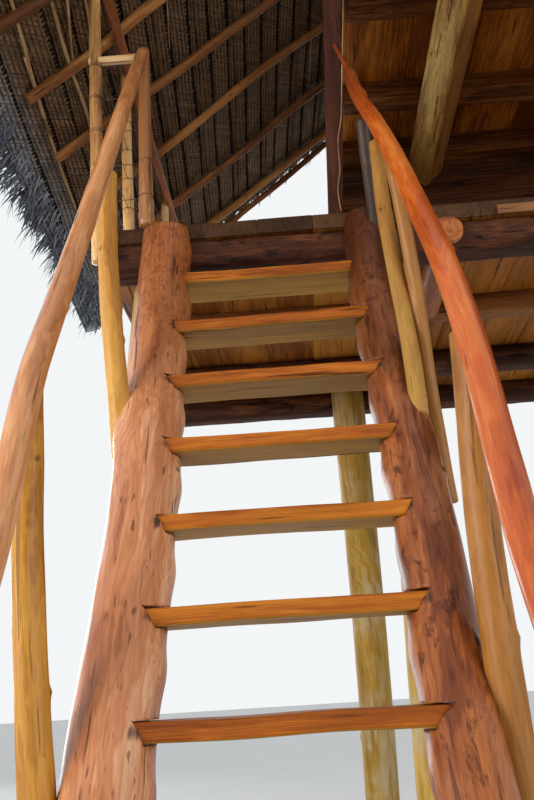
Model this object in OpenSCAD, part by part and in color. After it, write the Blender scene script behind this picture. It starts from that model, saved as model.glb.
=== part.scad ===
// Stilt house: an open timber deck on log stilts, with a log stair, a board loft
// and a steep roof of woven palm leaf.
// X runs to the right, Y away from the foot of the stair and Z up. The origin is on the ground.
// The pieces are laid out from the stair: x = 0 is its middle and y = 0 the line where a tread at
// ground level would have its nosing. The whole is then moved so that the origin is central.

/* [Stair] */
// Height from one tread to the next
riser = 280; // [240:5:300]
// Horizontal run from one nosing to the next
going = 160; // [150:5:190]
// Number of treads below the deck
tread_count = 10; // [9:1:11]
// Length of a nosing between the ends that are let into the logs
tread_l = 740; // [680:10:820]
// Depth of a tread from front to back
tread_d = 190; // [170:5:210]
// Thickness of a tread
tread_t = 48; // [38:1:60]
// How far a tread end reaches past its nosing into the log
tread_bite = 12; // [6:1:20]
// Diameter of the left stair log
stringer_left_d = 214; // [200:2:224]
// Diameter of the right stair log
stringer_right_d = 182; // [170:2:196]
// Distance from the left end of a nosing out to the middle of the left stair log
stringer_left_set = 62; // [55:1:68]
// Distance from the right end of a nosing out to the middle of the right stair log
stringer_right_set = 44; // [36:1:50]
// Distance from the nosing back to the middle of a stair log
stringer_back = 95; // [88:1:102]
// Forward bend of a stair log at its head, where it stands in front of the deck
head_bend = 110; // [90:5:120]
// Drop from the deck to the flat top of a stair log
head_drop = 12; // [6:1:20]
// Depth of the flat cut at the toe of a stair log, in front of the first nosing line
toe_reach = 10; // [0:1:14]

/* [Handrails] */
// Diameter of the left handrail at its foot
rail_left_d = 80; // [70:1:86]
// Diameter of the right handrail at its foot
rail_right_d = 90; // [80:1:96]
// Diameter of the lower posts that carry the handrails
rail_post_d = 74; // [64:1:80]
// Diameter of the upper left post
upper_post_d = 66; // [56:1:72]
// Diameter of the upper right posts
slim_post_d = 52; // [44:1:58]

/* [Deck] */
// Distance from the first nosing line to the front edge of the deck
deck_front = 1700; // [1695:5:1720]
// Depth of the deck from front to back
deck_depth = 2600; // [2500:20:2700]
// Overhang of the deck to the left of the middle of the stair
deck_left = 750; // [745:5:800]
// Thickness of the deck boards
board_t = 70; // [60:1:76]
// Wanted width of a deck board with its gap
board_pitch = 240; // [200:5:300]
// Gap between two boards
board_gap = 4; // [2:0.5:8]
// Height of the front and rear log beams
beam_h = 130; // [120:2:140]
// Diameter of the logs that the front and rear beams are hewn from
beam_d = 186; // [176:2:210]
// Width of the squared joist under the deck
joist_w = 110; // [90:5:140]
// Height of the squared joist under the deck
joist_h = 100; // [90:2:120]
// Distance from the front edge of the deck to the middle of the squared joist
joist_back = 820; // [700:10:900]
// Distance from the front edge of the deck to the middle of the inner one of the rear logs
inner_log_back = 1560; // [1300:10:1700]
// Distance from the rear edge of the deck to the middle of the rear log
rear_log_in = 388; // [320:4:420]
// Length by which the rear log reaches past the deck on each side
rear_log_over = 200; // [180:5:240]
// Diameter of the round girders, which are half-lapped with the beams and the joist
girder_d = 133; // [120:1:140]
// Distance from the middle of the stair to the first girder
girder_x = 757; // [700:1:900]
// Length by which a girder shows in front of the deck
girder_nose = 35; // [25:1:60]
// Thickness of the slat nailed to the board ends in front of the room
slat_t = 16; // [12:1:22]
// Height of the slat
slat_h = 42; // [36:1:46]
// Drop from the deck to the top of the slat
slat_drop = 32; // [26:1:36]
// Distance from the middle of the stair to the slat
slat_x = 975; // [900:5:1100]

/* [Stilts] */
// Diameter of a stilt at the ground
stilt_foot_d = 190; // [160:5:220]
// Diameter of a stilt at its top
stilt_top_d = 136; // [120:2:150]
// Distance from the middle of the stair to the stilt behind its right log
stilt_x = 510; // [505:1:515]
// Lean of that stilt to the right over its height
stilt_lean = 70; // [0:2:80]
// Distance from the middle of the stair to the head of the outer front stilt
outer_front_x = 530; // [500:5:560]
// Distance from the middle of the stair to the head of the outer stilt under the joist
outer_joist_x = 570; // [540:5:600]
// Distance from the middle of the stair to the head of the outer rear stilt
outer_rear_x = 840; // [800:5:860]
// Distance by which the foot of an outer stilt stands further out than its head
stilt_splay = 300; // [200:10:340]
// Diameter of the shouldered stilt at its top
shoulder_d = 212; // [190:2:224]
// Distance from the middle of the stair to the shouldered stilt
shoulder_x = 399; // [380:2:420]
// Lean of the shouldered stilt to the right over its height
shoulder_lean = 30; // [0:2:40]

/* [Guard] */
// Diameter of a guard pole at the deck
pole_d = 60; // [52:1:66]
// Diameter of a guard pole at its top
pole_top_d = 52; // [46:1:60]
// Distance from the middle of the stair to the left guard poles
pole_x = 712; // [700:1:714]
// Outward lean of the corner pole, in degrees
corner_lean = 1.1; // [0:0.1:1.2]
// Distance from the middle of the stair to the short pole beside it
newel_x = 508; // [480:1:560]
// Height of the short pole beside the stair
newel_h = 911; // [900:1:950]
// Diameter of the tie between the corner pole and the short pole
tie_d = 36; // [28:1:44]
// Height of the tie over the deck
tie_h = 869; // [865:1:875]
// Diameter of the guard wires
wire_d = 5; // [4:0.5:8]
// Number of guard wires one above the other
wire_count = 6; // [3:1:6]
// Height of the lowest wire over the deck
wire_low = 120; // [80:1:122]
// Height between two wires
wire_step = 177; // [140:1:178]
// Number of bays in a side guard
guard_bays = 4; // [3:1:5]

/* [Loft] */
// Height from the deck to the underside of the loft boards
loft_h = 1970; // [1900:10:2100]
// Distance from the middle of the stair to the left edge of the loft
loft_x = 545; // [500:5:600]
// Thickness of the loft boards
loft_board_t = 30; // [24:1:40]
// Width of a loft board with its gap
loft_board_w = 430; // [300:5:470]
// Height of a loft joist
loft_joist_h = 150; // [140:2:160]
// Width of a loft joist
loft_joist_w = 150; // [120:5:180]
// Distance between the two middle loft joists
loft_joist_gap = 870; // [800:10:1000]
// Side of the hewn girders under the loft joists
loft_girder_w = 205; // [180:5:230]
// Depth to which a joist is notched over a loft girder
loft_notch = 90; // [80:2:100]
// Distance from the middle of the stair to the first loft girder
loft_girder_x = 1180; // [1100:10:1250]
// Distance from the middle of the stair to the second loft girder
far_girder_x = 2200; // [2150:10:2260]
// Diameter of the log beams across the loft posts
cross_d = 150; // [140:2:170]
// Height of those log beams between their two flats
cross_h = 130; // [120:2:140]
// Width of the flat front post at its foot
post_foot_w = 62; // [50:1:75]
// Width of the flat front post at its top
post_top_w = 104; // [90:1:120]
// Thickness of the flat front post
post_t = 50; // [40:1:60]
// Distance from the middle of the stair to the left side of the flat post's foot
post_x = 268; // [250:2:300]
// Lean of the flat post to the right over its height
post_lean = 88; // [60:2:110]
// Diameter of the round rear posts of the room
rear_post_d = 110; // [90:2:120]
// Distance from the middle of the stair to the left rear post
rear_post_x = 495; // [470:5:510]
// Thickness of the rear wall boards
wall_t = 25; // [18:1:30]
// Wanted height of a rear wall board with its gap
wall_pitch = 280; // [200:5:320]

/* [Roof] */
// Slope of the roof
roof_pitch = 38.7; // [36:0.1:41]
// Distance from the middle of the stair to the ridge
ridge_x = 1500; // [1450:10:1550]
// Height from the underside of the loft boards to the point where the rafter axes cross
roof_over_loft = 1150; // [1120:10:1250]
// Length of a rafter along the slope
rafter_l = 3420; // [3300:10:3500]
// Diameter of a rafter
rafter_d = 46; // [40:1:56]
// Number of rafters on a slope
rafter_count = 7; // [5:1:7]
// Mean distance between two rafters
rafter_step = 545; // [500:5:560]
// Distance from the first nosing line to the first rafter
rafter_first = 1000; // [950:10:1050]
// Diameter of the thin pole along each verge
verge_d = 36; // [28:1:40]
// Distance from the outer rafters to the verge poles
verge_out = 185; // [150:5:220]
// Width of a split lath
lath_w = 26; // [20:1:34]
// Thickness of a split lath
lath_t = 10; // [7:1:14]
// Distance up the slope from one lath to the next
lath_step = 280; // [200:5:300]
// Angle between the laths and the ridge: towards the rear they run down the slope
lath_skew = 5; // [0:0.5:6]
// Thickness of the palm-leaf layer at its thin places
thatch_t = 55; // [40:1:75]
// Rise of the butt edge of each course of leaf
course_rise = 16; // [8:1:24]
// Length of a course of leaf along the slope
course_l = 300; // [240:10:360]
// Reach of the leaf past the ends of the rafters
eave_reach = 290; // [250:5:320]
// Reach of the leaf past the verge poles
verge_reach = 60; // [50:5:90]
// Reach of the ridge cap down each slope
cap_l = 420; // [350:10:500]
// Thickness of the ridge cap
cap_t = 45; // [35:1:60]
// Diameter of the ridge pole
ridge_d = 100; // [80:2:120]
// Diameter of the poles that carry the ridge pole
ridge_post_d = 88; // [70:2:90]
// Diameter of the plate poles along the eaves, which are tied to the guard poles
plate_d = 50; // [44:1:60]
// Depth of the notches that seat the rafters
rafter_notch = 8; // [4:1:10]

/* [Fits] */
// Clearance at each seat, tenon and notch
fit = 0.3; // [0.2:0.05:0.6]

/* [Hidden] */

far = 10000;
deck_top = (tread_count + 1) * riser;
deck_under = deck_top - board_t;
deck_rear = deck_front + deck_depth;
deck_w = 2 * (ridge_x + deck_left);
beam_bottom = deck_under - beam_h;
rear_beam_y = deck_rear - rear_log_in;
shoulder_y = rear_beam_y - 0.5 * beam_d + 12;
front_row_y = deck_front + 0.5 * beam_d + 80;
joist_y = deck_front + joist_back;
joist_bottom = deck_under - joist_h;
inner_log_y = deck_front + inner_log_back;
stilt_gap = 10;
rail_rings = 30;
girder_z = deck_under - 0.5 * girder_d;
lap_z = deck_under - 0.5 * beam_h;
lap_spare = 10;
head_top = deck_top - head_drop;
bend_from = 2300 / 280 * riser;
guard_front = deck_front - 0.5 * pole_d - fit;
guard_rear = deck_rear - 50;
guard_foot = beam_bottom + 30;
loft_under = deck_top + loft_h;
apex_z = loft_under + roof_over_loft;
loft_girder_half = loft_girder_w / sqrt(2);
loft_girder_z = loft_under - loft_joist_h + loft_notch - loft_girder_half;
cross_top = loft_girder_z - loft_girder_half + 22;
cross_bottom = cross_top - cross_h;
post_y = deck_front + 15;
post_mid_y = post_y + 0.5 * post_t;
rear_post_y = deck_rear - 70;
wall_y = rear_post_y - 0.5 * rear_post_d - fit - wall_t;
loft_front = post_mid_y + 0.5 * ridge_post_d + 25;
loft_rear = wall_y - 5;
loft_mid = 0.5 * (loft_front + loft_rear);
rafter_drop = (0.5 * rafter_d - rafter_notch) / cos(roof_pitch);
ridge_pole_z = apex_z - rafter_drop - 0.5 * ridge_d / cos(roof_pitch);
plate_x = pole_x - 0.5 * pole_top_d + 10;
plate_z = apex_z - (ridge_x + plate_x) * tan(roof_pitch) - rafter_drop
    - 0.5 * plate_d / cos(roof_pitch);
pole_head_z = apex_z - (ridge_x + pole_x + 0.5 * pole_d) * tan(roof_pitch);
// How far each rafter stands from its even place
rafter_stray = [0, 25, -70, -75, -80, -5, 30];
function rafter_y(k) = rafter_first + k * rafter_step + rafter_stray[k];
verge_front = rafter_first - verge_out;
verge_rear = rafter_y(rafter_count - 1) + verge_out;
lath_edge = 230;
lath_top = 300;
leaf_front = verge_front - verge_reach;
leaf_rear = verge_rear + verge_reach;
leaf_base = 0.5 * rafter_d + lath_t + 2 * fit;
leaf_l = rafter_l + eave_reach;
centre_y = 0.5 * (leaf_rear - toe_reach);
stringer_d = [stringer_left_d, stringer_right_d];
stringer_set = [stringer_left_set, stringer_right_set];
rail_d = [rail_left_d, rail_right_d];
// Share of its foot diameter that each rail keeps at its head, and how fast it gets there
rail_head = [0.7, 0.4];
rail_taper = [1, 0.6];

// A place beside the stair: its side, the distance out from the end of a nosing, the distance
// behind the nosing line and the height in risers
function stair_place(side, out, behind, steps) =
    [side * (0.5 * tread_l + out), steps * going + behind, steps * riser];
// Routes of the natural poles, chosen by eye. Each point is [out, behind, steps].
rail_routes = [
    [[142, -588, 14.68], [152, -606, 13.54], [170, -606, 12.04], [186, -604, 10.71],
        [202, -603, 9.39], [222, -597, 8.11], [238, -592, 7.11], [250, -539, 6.21],
        [254, -507, 5.36], [256, -526, 4.54]],
    [[-20, -567, 14.11], [20, -509, 13.43], [44, -474, 12.71], [70, -529, 11.68],
        [92, -576, 10.54], [116, -600, 9.25], [142, -601, 8.07], [164, -541, 7.07],
        [176, -455, 6], [186, -396, 5.04], [194, -397, 4.11]]];

// Helpers

function unit(v) = v / norm(v);
// A value from -1 to 1 that wanders with the two counters and the seed
function wander(i, j, seed) =
    0.6 * sin(97 * i + 61 * seed) * cos(71 * j + 29 * seed) + 0.4 * sin(43 * i + 151 * j + 17 * seed);
// A smooth curve through the points of a route, at t from 0 to the last point
function on_curve(p, t) =
    let (last = len(p) - 1, k = min(floor(t), last - 1), f = t - k,
         a = p[max(k - 1, 0)], b = p[k], c = p[k + 1], d = p[min(k + 2, last)])
    0.5 * (2 * b + (c - a) * f + (2 * a - 5 * b + 4 * c - d) * f * f
        + (3 * b - a - 3 * c + d) * f * f * f);
function curve_points(p, n) = [for (i = [0 : n]) on_curve(p, i * (len(p) - 1) / n)];
// Points along a nearly straight log from a to b that bows sideways
function bowed_points(a, b, bow, n) =
    [for (i = [0 : n]) let (t = i / n) a + (b - a) * t + bow * sin(180 * t)];

// A natural pole: rings of points round each route point, with lumps of the given share of its
// radius. The level option keeps the rings flat, for the square cut ends of posts. Only the rings
// from low to high are drawn, for a cut that needs just a stretch of the pole.
module natural_pole(points, d_start, d_end, sides, lumps, seed, level = false, swell = 0,
        low = 0, high = far, taper = 1) {
    last = len(points) - 1;
    end = min(high, last);
    function along(i) = level ? [0, 0, 1] : unit(points[min(i + 1, last)] - points[max(i - 1, 0)]);
    function across(i) = level ? [1, 0, 0]
        : unit(cross(along(i), abs(along(i)[0]) > 0.9 ? [0, 0, 1] : [1, 0, 0]));
    function radius(i, j) =
        0.5 * (d_start + (d_end - d_start) * pow(i / last, taper)) * (1 + lumps * wander(i, j, seed))
        + swell;
    ring_points = [for (i = [low : end], j = [0 : sides - 1])
        let (t = along(i), s = across(i), up = cross(s, t), a = 360 * j / sides)
        points[i] + radius(i, j) * (cos(a) * s + sin(a) * up)];
    walls = [for (i = [0 : end - low - 1], j = [0 : sides - 1])
        let (k = (j + 1) % sides)
        [i * sides + j, i * sides + k, (i + 1) * sides + k, (i + 1) * sides + j]];
    start_cap = [for (j = [0 : sides - 1]) sides - 1 - j];
    end_cap = [for (j = [0 : sides - 1]) (end - low) * sides + j];
    polyhedron(ring_points, concat([start_cap], walls, [end_cap]), convexity = 6);
}

// Mirrors its children to the other half of the house
module other_side() {
    translate([2 * ridge_x, 0, 0]) mirror([1, 0, 0]) children();
}

module at_both_sides() {
    children();
    other_side() children();
}

module along_x(x0, x1, y, z, d) {
    translate([x0, y, z]) rotate([0, 90, 0]) cylinder(h = x1 - x0, d = d, $fn = 48);
}

module along_y(x, y0, y1, z, d) {
    translate([x, y0, z]) rotate([-90, 0, 0]) cylinder(h = y1 - y0, d = d, $fn = 48);
}

// A wire from one point to another
module wire(from, to, d) {
    run = to - from;
    translate(from)
    rotate([0, acos(run[2] / norm(run)), atan2(run[1], run[0])])
    cylinder(h = norm(run), d = d, $fn = 48);
}

module box(x0, x1, y0, y1, z0, z1) {
    translate([x0, y0, z0]) cube([x1 - x0, y1 - y0, z1 - z0]);
}

// Stair

function head_share(height) = pow(max(0, height - bend_from) / (deck_top - bend_from), 2);
function stair_point(height) =
    [0, height * going / riser + stringer_back - head_bend * head_share(height), height];

// The whole log of one side, from -1 for left to 1 for right, thicker by the given amount, or only
// its stretch near a height
module stringer_log(side, swell = 0, near = undef) {
    which = side < 0 ? 0 : 1;
    offset_x = side * (0.5 * tread_l + stringer_set[which]);
    rings = 3 * (tread_count + 1);
    log_low = -riser;
    log_high = deck_top + 0.5 * riser;
    points = [for (i = [0 : rings])
        let (h = log_low + (log_high - log_low) * i / rings)
        stair_point(h) + [offset_x + 7 * sin(70 * i / 3), 0, 0]];
    ring = is_undef(near) ? 0 : round(rings * (near - log_low) / (log_high - log_low));
    natural_pole(points, stringer_d[which] * 1.06, stringer_d[which] * 0.95, 14, 0.04, 3 + which,
        swell = swell, low = is_undef(near) ? 0 : max(ring - 3, 0),
        high = is_undef(near) ? rings : min(ring + 3, rings));
}

// A log, cut level at the ground and just below the deck, hewn plumb where it stands against the
// deck and where a stilt stands behind it, and mortised for each tread
module stringer(side) {
    end_x = 0.5 * tread_l + tread_bite + fit;
    difference() {
        stringer_log(side);
        box(-far, far, -far, far, -far, 0);
        box(-far, far, -far, -toe_reach, -far, far);
        box(-far, far, -far, far, head_top, far);
        box(-far, far, deck_front - fit, far, beam_bottom - fit, far);
        box(-far, far, front_row_y - 0.5 * stilt_top_d - stilt_gap, far, beam_bottom - riser, far);
        for (k = [1 : tread_count])
            box(-end_x, end_x, k * going - fit, k * going + tread_d + fit,
                k * riser - tread_t - fit, k * riser + fit);
    }
}

// A plank with a rounded nosing and a bevelled rear edge
module tread(k) {
    nose = 10;
    bevel = 14;
    length = tread_l + 2 * tread_bite;
    color("peru")
    translate([-0.5 * length, k * going, k * riser - tread_t])
    rotate([90, 0, 90])
    linear_extrude(length)
    union() {
        translate([nose, 0]) square([tread_d - nose - bevel, tread_t]);
        translate([0, nose]) square([tread_d, tread_t - nose - bevel]);
        translate([nose, nose]) circle(nose, $fn = 24);
        translate([nose, tread_t - nose]) circle(nose, $fn = 24);
        polygon([[nose, nose], [tread_d - 1, nose], [tread_d, tread_t - bevel],
            [tread_d - bevel, tread_t], [nose, tread_t]]);
        translate([0, nose]) square([nose, tread_t - 2 * nose]);
        translate([tread_d - bevel - 1, 0]) square([bevel + 1, tread_t - bevel]);
    }
}

// Handrails

// The number of the point that is at the nearest height
function nearest(points, height) =
    let (gaps = [for (p = points) abs(p[2] - height)]) search(min(gaps), gaps)[0];

module rail_form(side, swell = 0, near = undef) {
    which = side < 0 ? 0 : 1;
    route = [for (p = rail_routes[which]) stair_place(side, p[0], p[1], p[2])];
    points = curve_points(route, rail_rings);
    ring = is_undef(near) ? 0 : nearest(points, near);
    natural_pole(points, rail_d[which] * rail_head[which], rail_d[which], 10, 0.04,
        5 + which, swell = swell, low = is_undef(near) ? 0 : max(ring - 3, 0),
        high = is_undef(near) ? rail_rings : min(ring + 3, rail_rings), taper = rail_taper[which]);
}

// The left rail ends against the short guard pole and the deck, the right one against the flat post
module handrail_left() {
    color("chocolate")
    difference() {
        rail_form(-1);
        translate([-newel_x, guard_front, deck_top])
            cylinder(h = newel_h + 400, d = pole_d + 2 * fit, $fn = 48);
        box(-far, far, guard_front - 0.5 * tie_d - fit, far, 0, far);
    }
}

module handrail_right() {
    color("orangered")
    difference() {
        rail_form(1);
        box(-far, far, post_y - fit, far, 0, far);
    }
}

// A post from its foot to a point inside the rail, cut to the rail and to the stair log near the
// height where it meets that
module rail_post(side, foot, head, bow, d, seed, level, meets = 0) {
    difference() {
        natural_pole(bowed_points(foot, head, bow, 8), d * 1.04, d * 0.94, 8, 0.05, seed, level);
        rail_form(side, fit, head[2]);
        if (meets > 0) stringer_log(side, fit, meets);
        box(-far, far, deck_front - fit, far, -far, far);
    }
}

module rail_posts_left() {
    color("goldenrod") {
        rail_post(-1, stair_place(-1, 190, 640, 0), stair_place(-1, 250, -560, 7),
            [-4, 6, 0], rail_post_d, 2, true);
        rail_post(-1, stair_place(-1, 148, 120, 6.9), stair_place(-1, 188, -545, 10.75),
            [-12, 0, 0], upper_post_d, 7, false, 7.1 * riser);
    }
}

module rail_posts_right() {
    color("goldenrod") {
        rail_post(1, stair_place(1, 175, 760, 0), stair_place(1, 166, -522, 7.36),
            [-6, 10, 0], rail_post_d, 4, true);
        rail_post(1, stair_place(1, 98, 32, 7.1), stair_place(1, 78, -486, 11.2),
            [-4, 0, 0], slim_post_d, 9, false, 7.3 * riser);
        rail_post(1, stair_place(1, 182, 317, 6.14), stair_place(1, 98, -553, 10.55),
            [6, 0, 0], 0.85 * slim_post_d, 10, false, 7.1 * riser);
        rail_post(1, stair_place(1, 87, -6, 10.48), stair_place(1, 58, -461, 12.0),
            [2, 0, 0], slim_post_d, 6, false, 10.6 * riser);
    }
}

// Deck

// A bark-covered log along X, hewn flat on top and underneath
module hewn_beam(y, seed, over = 0) {
    z = 0.5 * (deck_under + beam_bottom);
    x0 = -deck_left + 12 - over;
    x1 = 2 * ridge_x - x0;
    intersection() {
        natural_pole(bowed_points([x0, y, z], [x1, y, z], [0, 10, 0], 20), beam_d * 1.04, beam_d,
            12, 0.05, seed);
        box(-far, far, -far, far, beam_bottom, deck_under);
    }
}

module girder_forms(swell = 0) {
    at_both_sides() along_y(girder_x, deck_front - girder_nose, deck_rear - 20, girder_z,
        girder_d + 2 * swell);
}

// The upper halves of the girders, for the laps in what they cross
module girder_laps() {
    intersection() {
        girder_forms(fit);
        box(-far, far, -far, far, lap_z - fit, far);
    }
}

// The front beam is also hewn flat on its front
module rim_beam() {
    color("saddlebrown")
    difference() {
        hewn_beam(deck_front + 0.5 * beam_d - 8, 12);
        box(-far, far, -far, deck_front, -far, far);
        girder_laps();
    }
}

// The rear log, which is flat where it bears on the shouldered stilts, and one further forward
module rear_beams() {
    color("saddlebrown")
    difference() {
        union() {
            hewn_beam(inner_log_y, 21);
            hewn_beam(rear_beam_y, 15, rear_log_over);
        }
        at_both_sides()
            box(shoulder_x - 0.75 * shoulder_d, shoulder_x + 0.75 * shoulder_d,
                rear_beam_y - beam_d, shoulder_y + fit, -far, far);
        girder_laps();
    }
}

module deck_joist() {
    color("burlywood")
    difference() {
        box(-deck_left + 30, 2 * ridge_x + deck_left - 30, joist_y - 0.5 * joist_w,
            joist_y + 0.5 * joist_w, joist_bottom, deck_under);
        girder_laps();
    }
}

// Round logs, cut away from below to half their height where they cross the beams and the joist
module deck_girders() {
    color("sienna")
    difference() {
        girder_forms();
        box(-far, far, deck_front - fit, deck_front + beam_d + lap_spare, -far, lap_z);
        box(-far, far, joist_y - 0.5 * joist_w - fit, joist_y + 0.5 * joist_w + fit, -far, lap_z);
        box(-far, far, inner_log_y - 0.5 * beam_d - lap_spare,
            inner_log_y + 0.5 * beam_d + lap_spare, -far, lap_z);
        box(-far, far, rear_beam_y - 0.5 * beam_d - lap_spare,
            rear_beam_y + 0.5 * beam_d + lap_spare, -far, lap_z);
    }
}

module deck_boards() {
    count = round(deck_w / board_pitch);
    step = deck_w / count;
    color("tan")
    for (k = [0 : count - 1])
        translate([-deck_left + k * step + 0.5 * board_gap, deck_front, deck_under])
            cube([step - board_gap, deck_depth, board_t]);
}

module front_slat() {
    color("wheat")
    box(slat_x, 2 * ridge_x - slat_x, deck_front - slat_t, deck_front,
        deck_top - slat_drop - slat_h, deck_top - slat_drop);
}

// Stilts

// A natural pole on the ground that bows a little between its foot and its head
module stilt(foot_x, head_x, y, top, foot_d, top_d, bow, seed) {
    natural_pole(bowed_points([foot_x, y, 0], [head_x, y, top], [bow, 0.6 * bow, 0], 9), foot_d,
        top_d, 10, 0.05, seed, true);
}

// A stilt at the outer side, which stands splayed
module outer_stilt(head_x, y, top, bow, seed) {
    stilt(-head_x - stilt_splay, -head_x, y, top, stilt_foot_d, stilt_top_d, bow, seed);
}

// The thick stilt in view behind the stair. Its rear half ends in a shoulder under the rear log,
// and its front half goes on up to the boards.
module shouldered_stilt() {
    difference() {
        stilt(shoulder_x - 0.5 * shoulder_lean, shoulder_x + 0.5 * shoulder_lean, shoulder_y,
            deck_under, stilt_foot_d, shoulder_d, 18, 13);
        box(-far, far, shoulder_y, far, beam_bottom, far);
    }
}

// The stilts of the left half: three at its side, one behind the right stair log and the
// shouldered one
module left_stilts() {
    outer_stilt(outer_front_x, front_row_y, beam_bottom, 8, 3);
    outer_stilt(outer_joist_x, joist_y, joist_bottom, -8, 8);
    outer_stilt(outer_rear_x, rear_beam_y, beam_bottom, 10, 12);
    stilt(stilt_x - 0.5 * stilt_lean, stilt_x + 0.5 * stilt_lean, front_row_y, beam_bottom,
        1.1 * stilt_foot_d, stilt_top_d, -4, 4);
    shouldered_stilt();
}

module stilts_left() {
    color("darkkhaki") left_stilts();
}

module stilts_right() {
    color("darkkhaki") other_side() left_stilts();
}

// Guard

function wire_z(k) = deck_top + wire_low + k * wire_step;
function guard_y(k) = guard_front + k * (guard_rear - guard_front) / guard_bays;

module guard_pole(x, y, foot, head, lean = 0) {
    translate([x, y, foot])
    rotate([0, -lean, 0])
    cylinder(h = head - foot, d1 = pole_d, d2 = pole_top_d, $fn = 32);
}

// Wires of the left side, with the given diameter. The front wires run from the corner pole to
// the short pole, as far up as that goes, or where no stair comes up on to the flat post, and the
// rear ones to the rear post of the room.
module wire_forms(d, closed) {
    for (k = [0 : wire_count - 1]) {
        high = wire_z(k) + 2 * wire_d;
        post_side = post_x + post_lean * (high - deck_top) / (cross_bottom - deck_top);
        corner = [-pole_x - 12, guard_front, high];
        along_y(-pole_x, guard_front - 12, guard_rear + 12, wire_z(k), d);
        if (closed) wire(corner, [post_side + 25, post_mid_y, high], d);
        else if (high < deck_top + newel_h) wire(corner, [-newel_x + 12, guard_front, high], d);
        along_x(-pole_x - 12, rear_post_x + 25, rear_post_y, high, d);
    }
}

module tie_form(d) {
    along_x(-pole_x - 50, -newel_x + 12, guard_front, deck_top + tie_h, d);
}

// Side poles that reach the leaf, the short pole beside the stair and a rear pole. The corner pole
// comes down over the front beam, and so does the short one where it has no stair log to stand on.
module guard_poles(closed) {
    difference() {
        union() {
            guard_pole(-pole_x, guard_front, guard_foot, pole_head_z, corner_lean);
            for (k = [1 : guard_bays])
                guard_pole(-pole_x, guard_y(k), deck_top, pole_head_z);
            guard_pole(-newel_x, guard_front, closed ? guard_foot : head_top + fit,
                deck_top + newel_h);
            guard_pole(-0.5 * (pole_x - rear_post_x), rear_post_y, deck_top, deck_top + newel_h);
        }
        along_y(-plate_x, 0, far, plate_z, plate_d + 2 * fit);
        tie_form(tie_d + 2 * fit);
        wire_forms(wire_d + 2 * fit, closed);
    }
}

module guard_poles_left() {
    color("darkgoldenrod") guard_poles(false);
}

// The wires of one side with the tie between its two front poles
module guard_wires_left() {
    color("dimgray") {
        wire_forms(wire_d, false);
        tie_form(tie_d);
    }
}

module guard_poles_right() {
    color("darkgoldenrod") other_side() guard_poles(true);
}

module guard_wires_right() {
    color("dimgray")
    other_side() {
        wire_forms(wire_d, true);
        tie_form(tie_d);
    }
}

// Loft

// A flat post that leans to the right and widens upwards
module flat_post() {
    height = cross_bottom - deck_top;
    translate([post_x, post_y + post_t, deck_top])
    rotate([90, 0, 0])
    linear_extrude(post_t)
    polygon([[0, 0], [post_foot_w, 0], [post_lean + post_top_w, height], [post_lean, height]]);
}

module loft_posts_front() {
    color("brown")
    difference() {
        at_both_sides() flat_post();
        other_side() wire_forms(wire_d + 2 * fit, true);
    }
}

module loft_posts_rear() {
    color("sienna")
    difference() {
        at_both_sides() translate([rear_post_x, rear_post_y, deck_top])
            cylinder(h = cross_bottom - deck_top, d = rear_post_d, $fn = 48);
        wire_forms(wire_d + 2 * fit, false);
        other_side() wire_forms(wire_d + 2 * fit, true);
    }
}

// Logs across the front and rear posts, flat on top and underneath, notched for the girders. The
// rear one is also hewn flush with its posts for the wall.
module loft_cross_beams() {
    x0 = post_x - 60;
    rear_x0 = rear_post_x - 0.5 * rear_post_d - 5;
    z = 0.5 * (cross_top + cross_bottom);
    color("sienna")
    difference() {
        intersection() {
            union() {
                along_x(x0, 2 * ridge_x - x0, post_mid_y, z, cross_d);
                along_x(rear_x0, 2 * ridge_x - rear_x0, rear_post_y, z, cross_d);
            }
            box(-far, far, -far, far, cross_bottom, cross_top);
        }
        box(-far, far, loft_mid, rear_post_y - 0.5 * rear_post_d, -far, far);
        loft_girder_forms(fit);
    }
}

// Hewn logs with one edge down, carried in notches of the cross beams
module loft_girder_forms(swell = 0) {
    w = loft_girder_w + 2 * swell;
    for (x = [loft_girder_x, far_girder_x])
    translate([x, post_mid_y - 0.5 * cross_d - 130, loft_girder_z])
    rotate([-90, 0, 0])
    linear_extrude(rear_post_y - post_mid_y + cross_d + 200)
    rotate(45)
    difference() {
        square([w, w], center = true);
        for (a = [0 : 90 : 270])
            rotate(a) translate([0.5 * w, 0.5 * w]) rotate(45) square([24, 60], center = true);
    }
}

module loft_girders() {
    color("khaki") loft_girder_forms();
}

module loft_joists() {
    half = 0.5 * loft_joist_w;
    color("peru")
    difference() {
        for (y = [loft_front + half, loft_mid - 0.5 * loft_joist_gap,
                loft_mid + 0.5 * loft_joist_gap, loft_rear - half])
            box(loft_x, 2 * ridge_x - loft_x, y - half, y + half, loft_under - loft_joist_h, loft_under);
        loft_girder_forms(fit);
    }
}

// Wide boards from the left, with a narrower last one
module loft_boards() {
    width = 2 * (ridge_x - loft_x);
    color("sandybrown")
    for (k = [0 : ceil(width / loft_board_w) - 1])
        translate([loft_x + k * loft_board_w, loft_front, loft_under])
            cube([min(loft_board_w, width - k * loft_board_w) - board_gap, loft_rear - loft_front,
                loft_board_t]);
}

// Boards nailed to the inner side of the rear posts, up to the loft boards
module rear_wall() {
    count = round(loft_h / wall_pitch);
    step = loft_h / count;
    color("maroon")
    difference() {
        for (k = [0 : count - 1])
            translate([rear_post_x - 40, wall_y, deck_top + k * step])
                cube([2 * (ridge_x - rear_post_x + 40), wall_t, step - (k < count - 1 ? board_gap : 0)]);
        loft_girder_forms(fit);
    }
}

// Roof

// Places its children on one slope: x runs down the slope from the ridge and z outwards
module on_slope(side) {
    translate([ridge_x, 0, apex_z])
    mirror([side < 0 ? 1 : 0, 0, 0])
    rotate([0, roof_pitch, 0])
    children();
}

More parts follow.
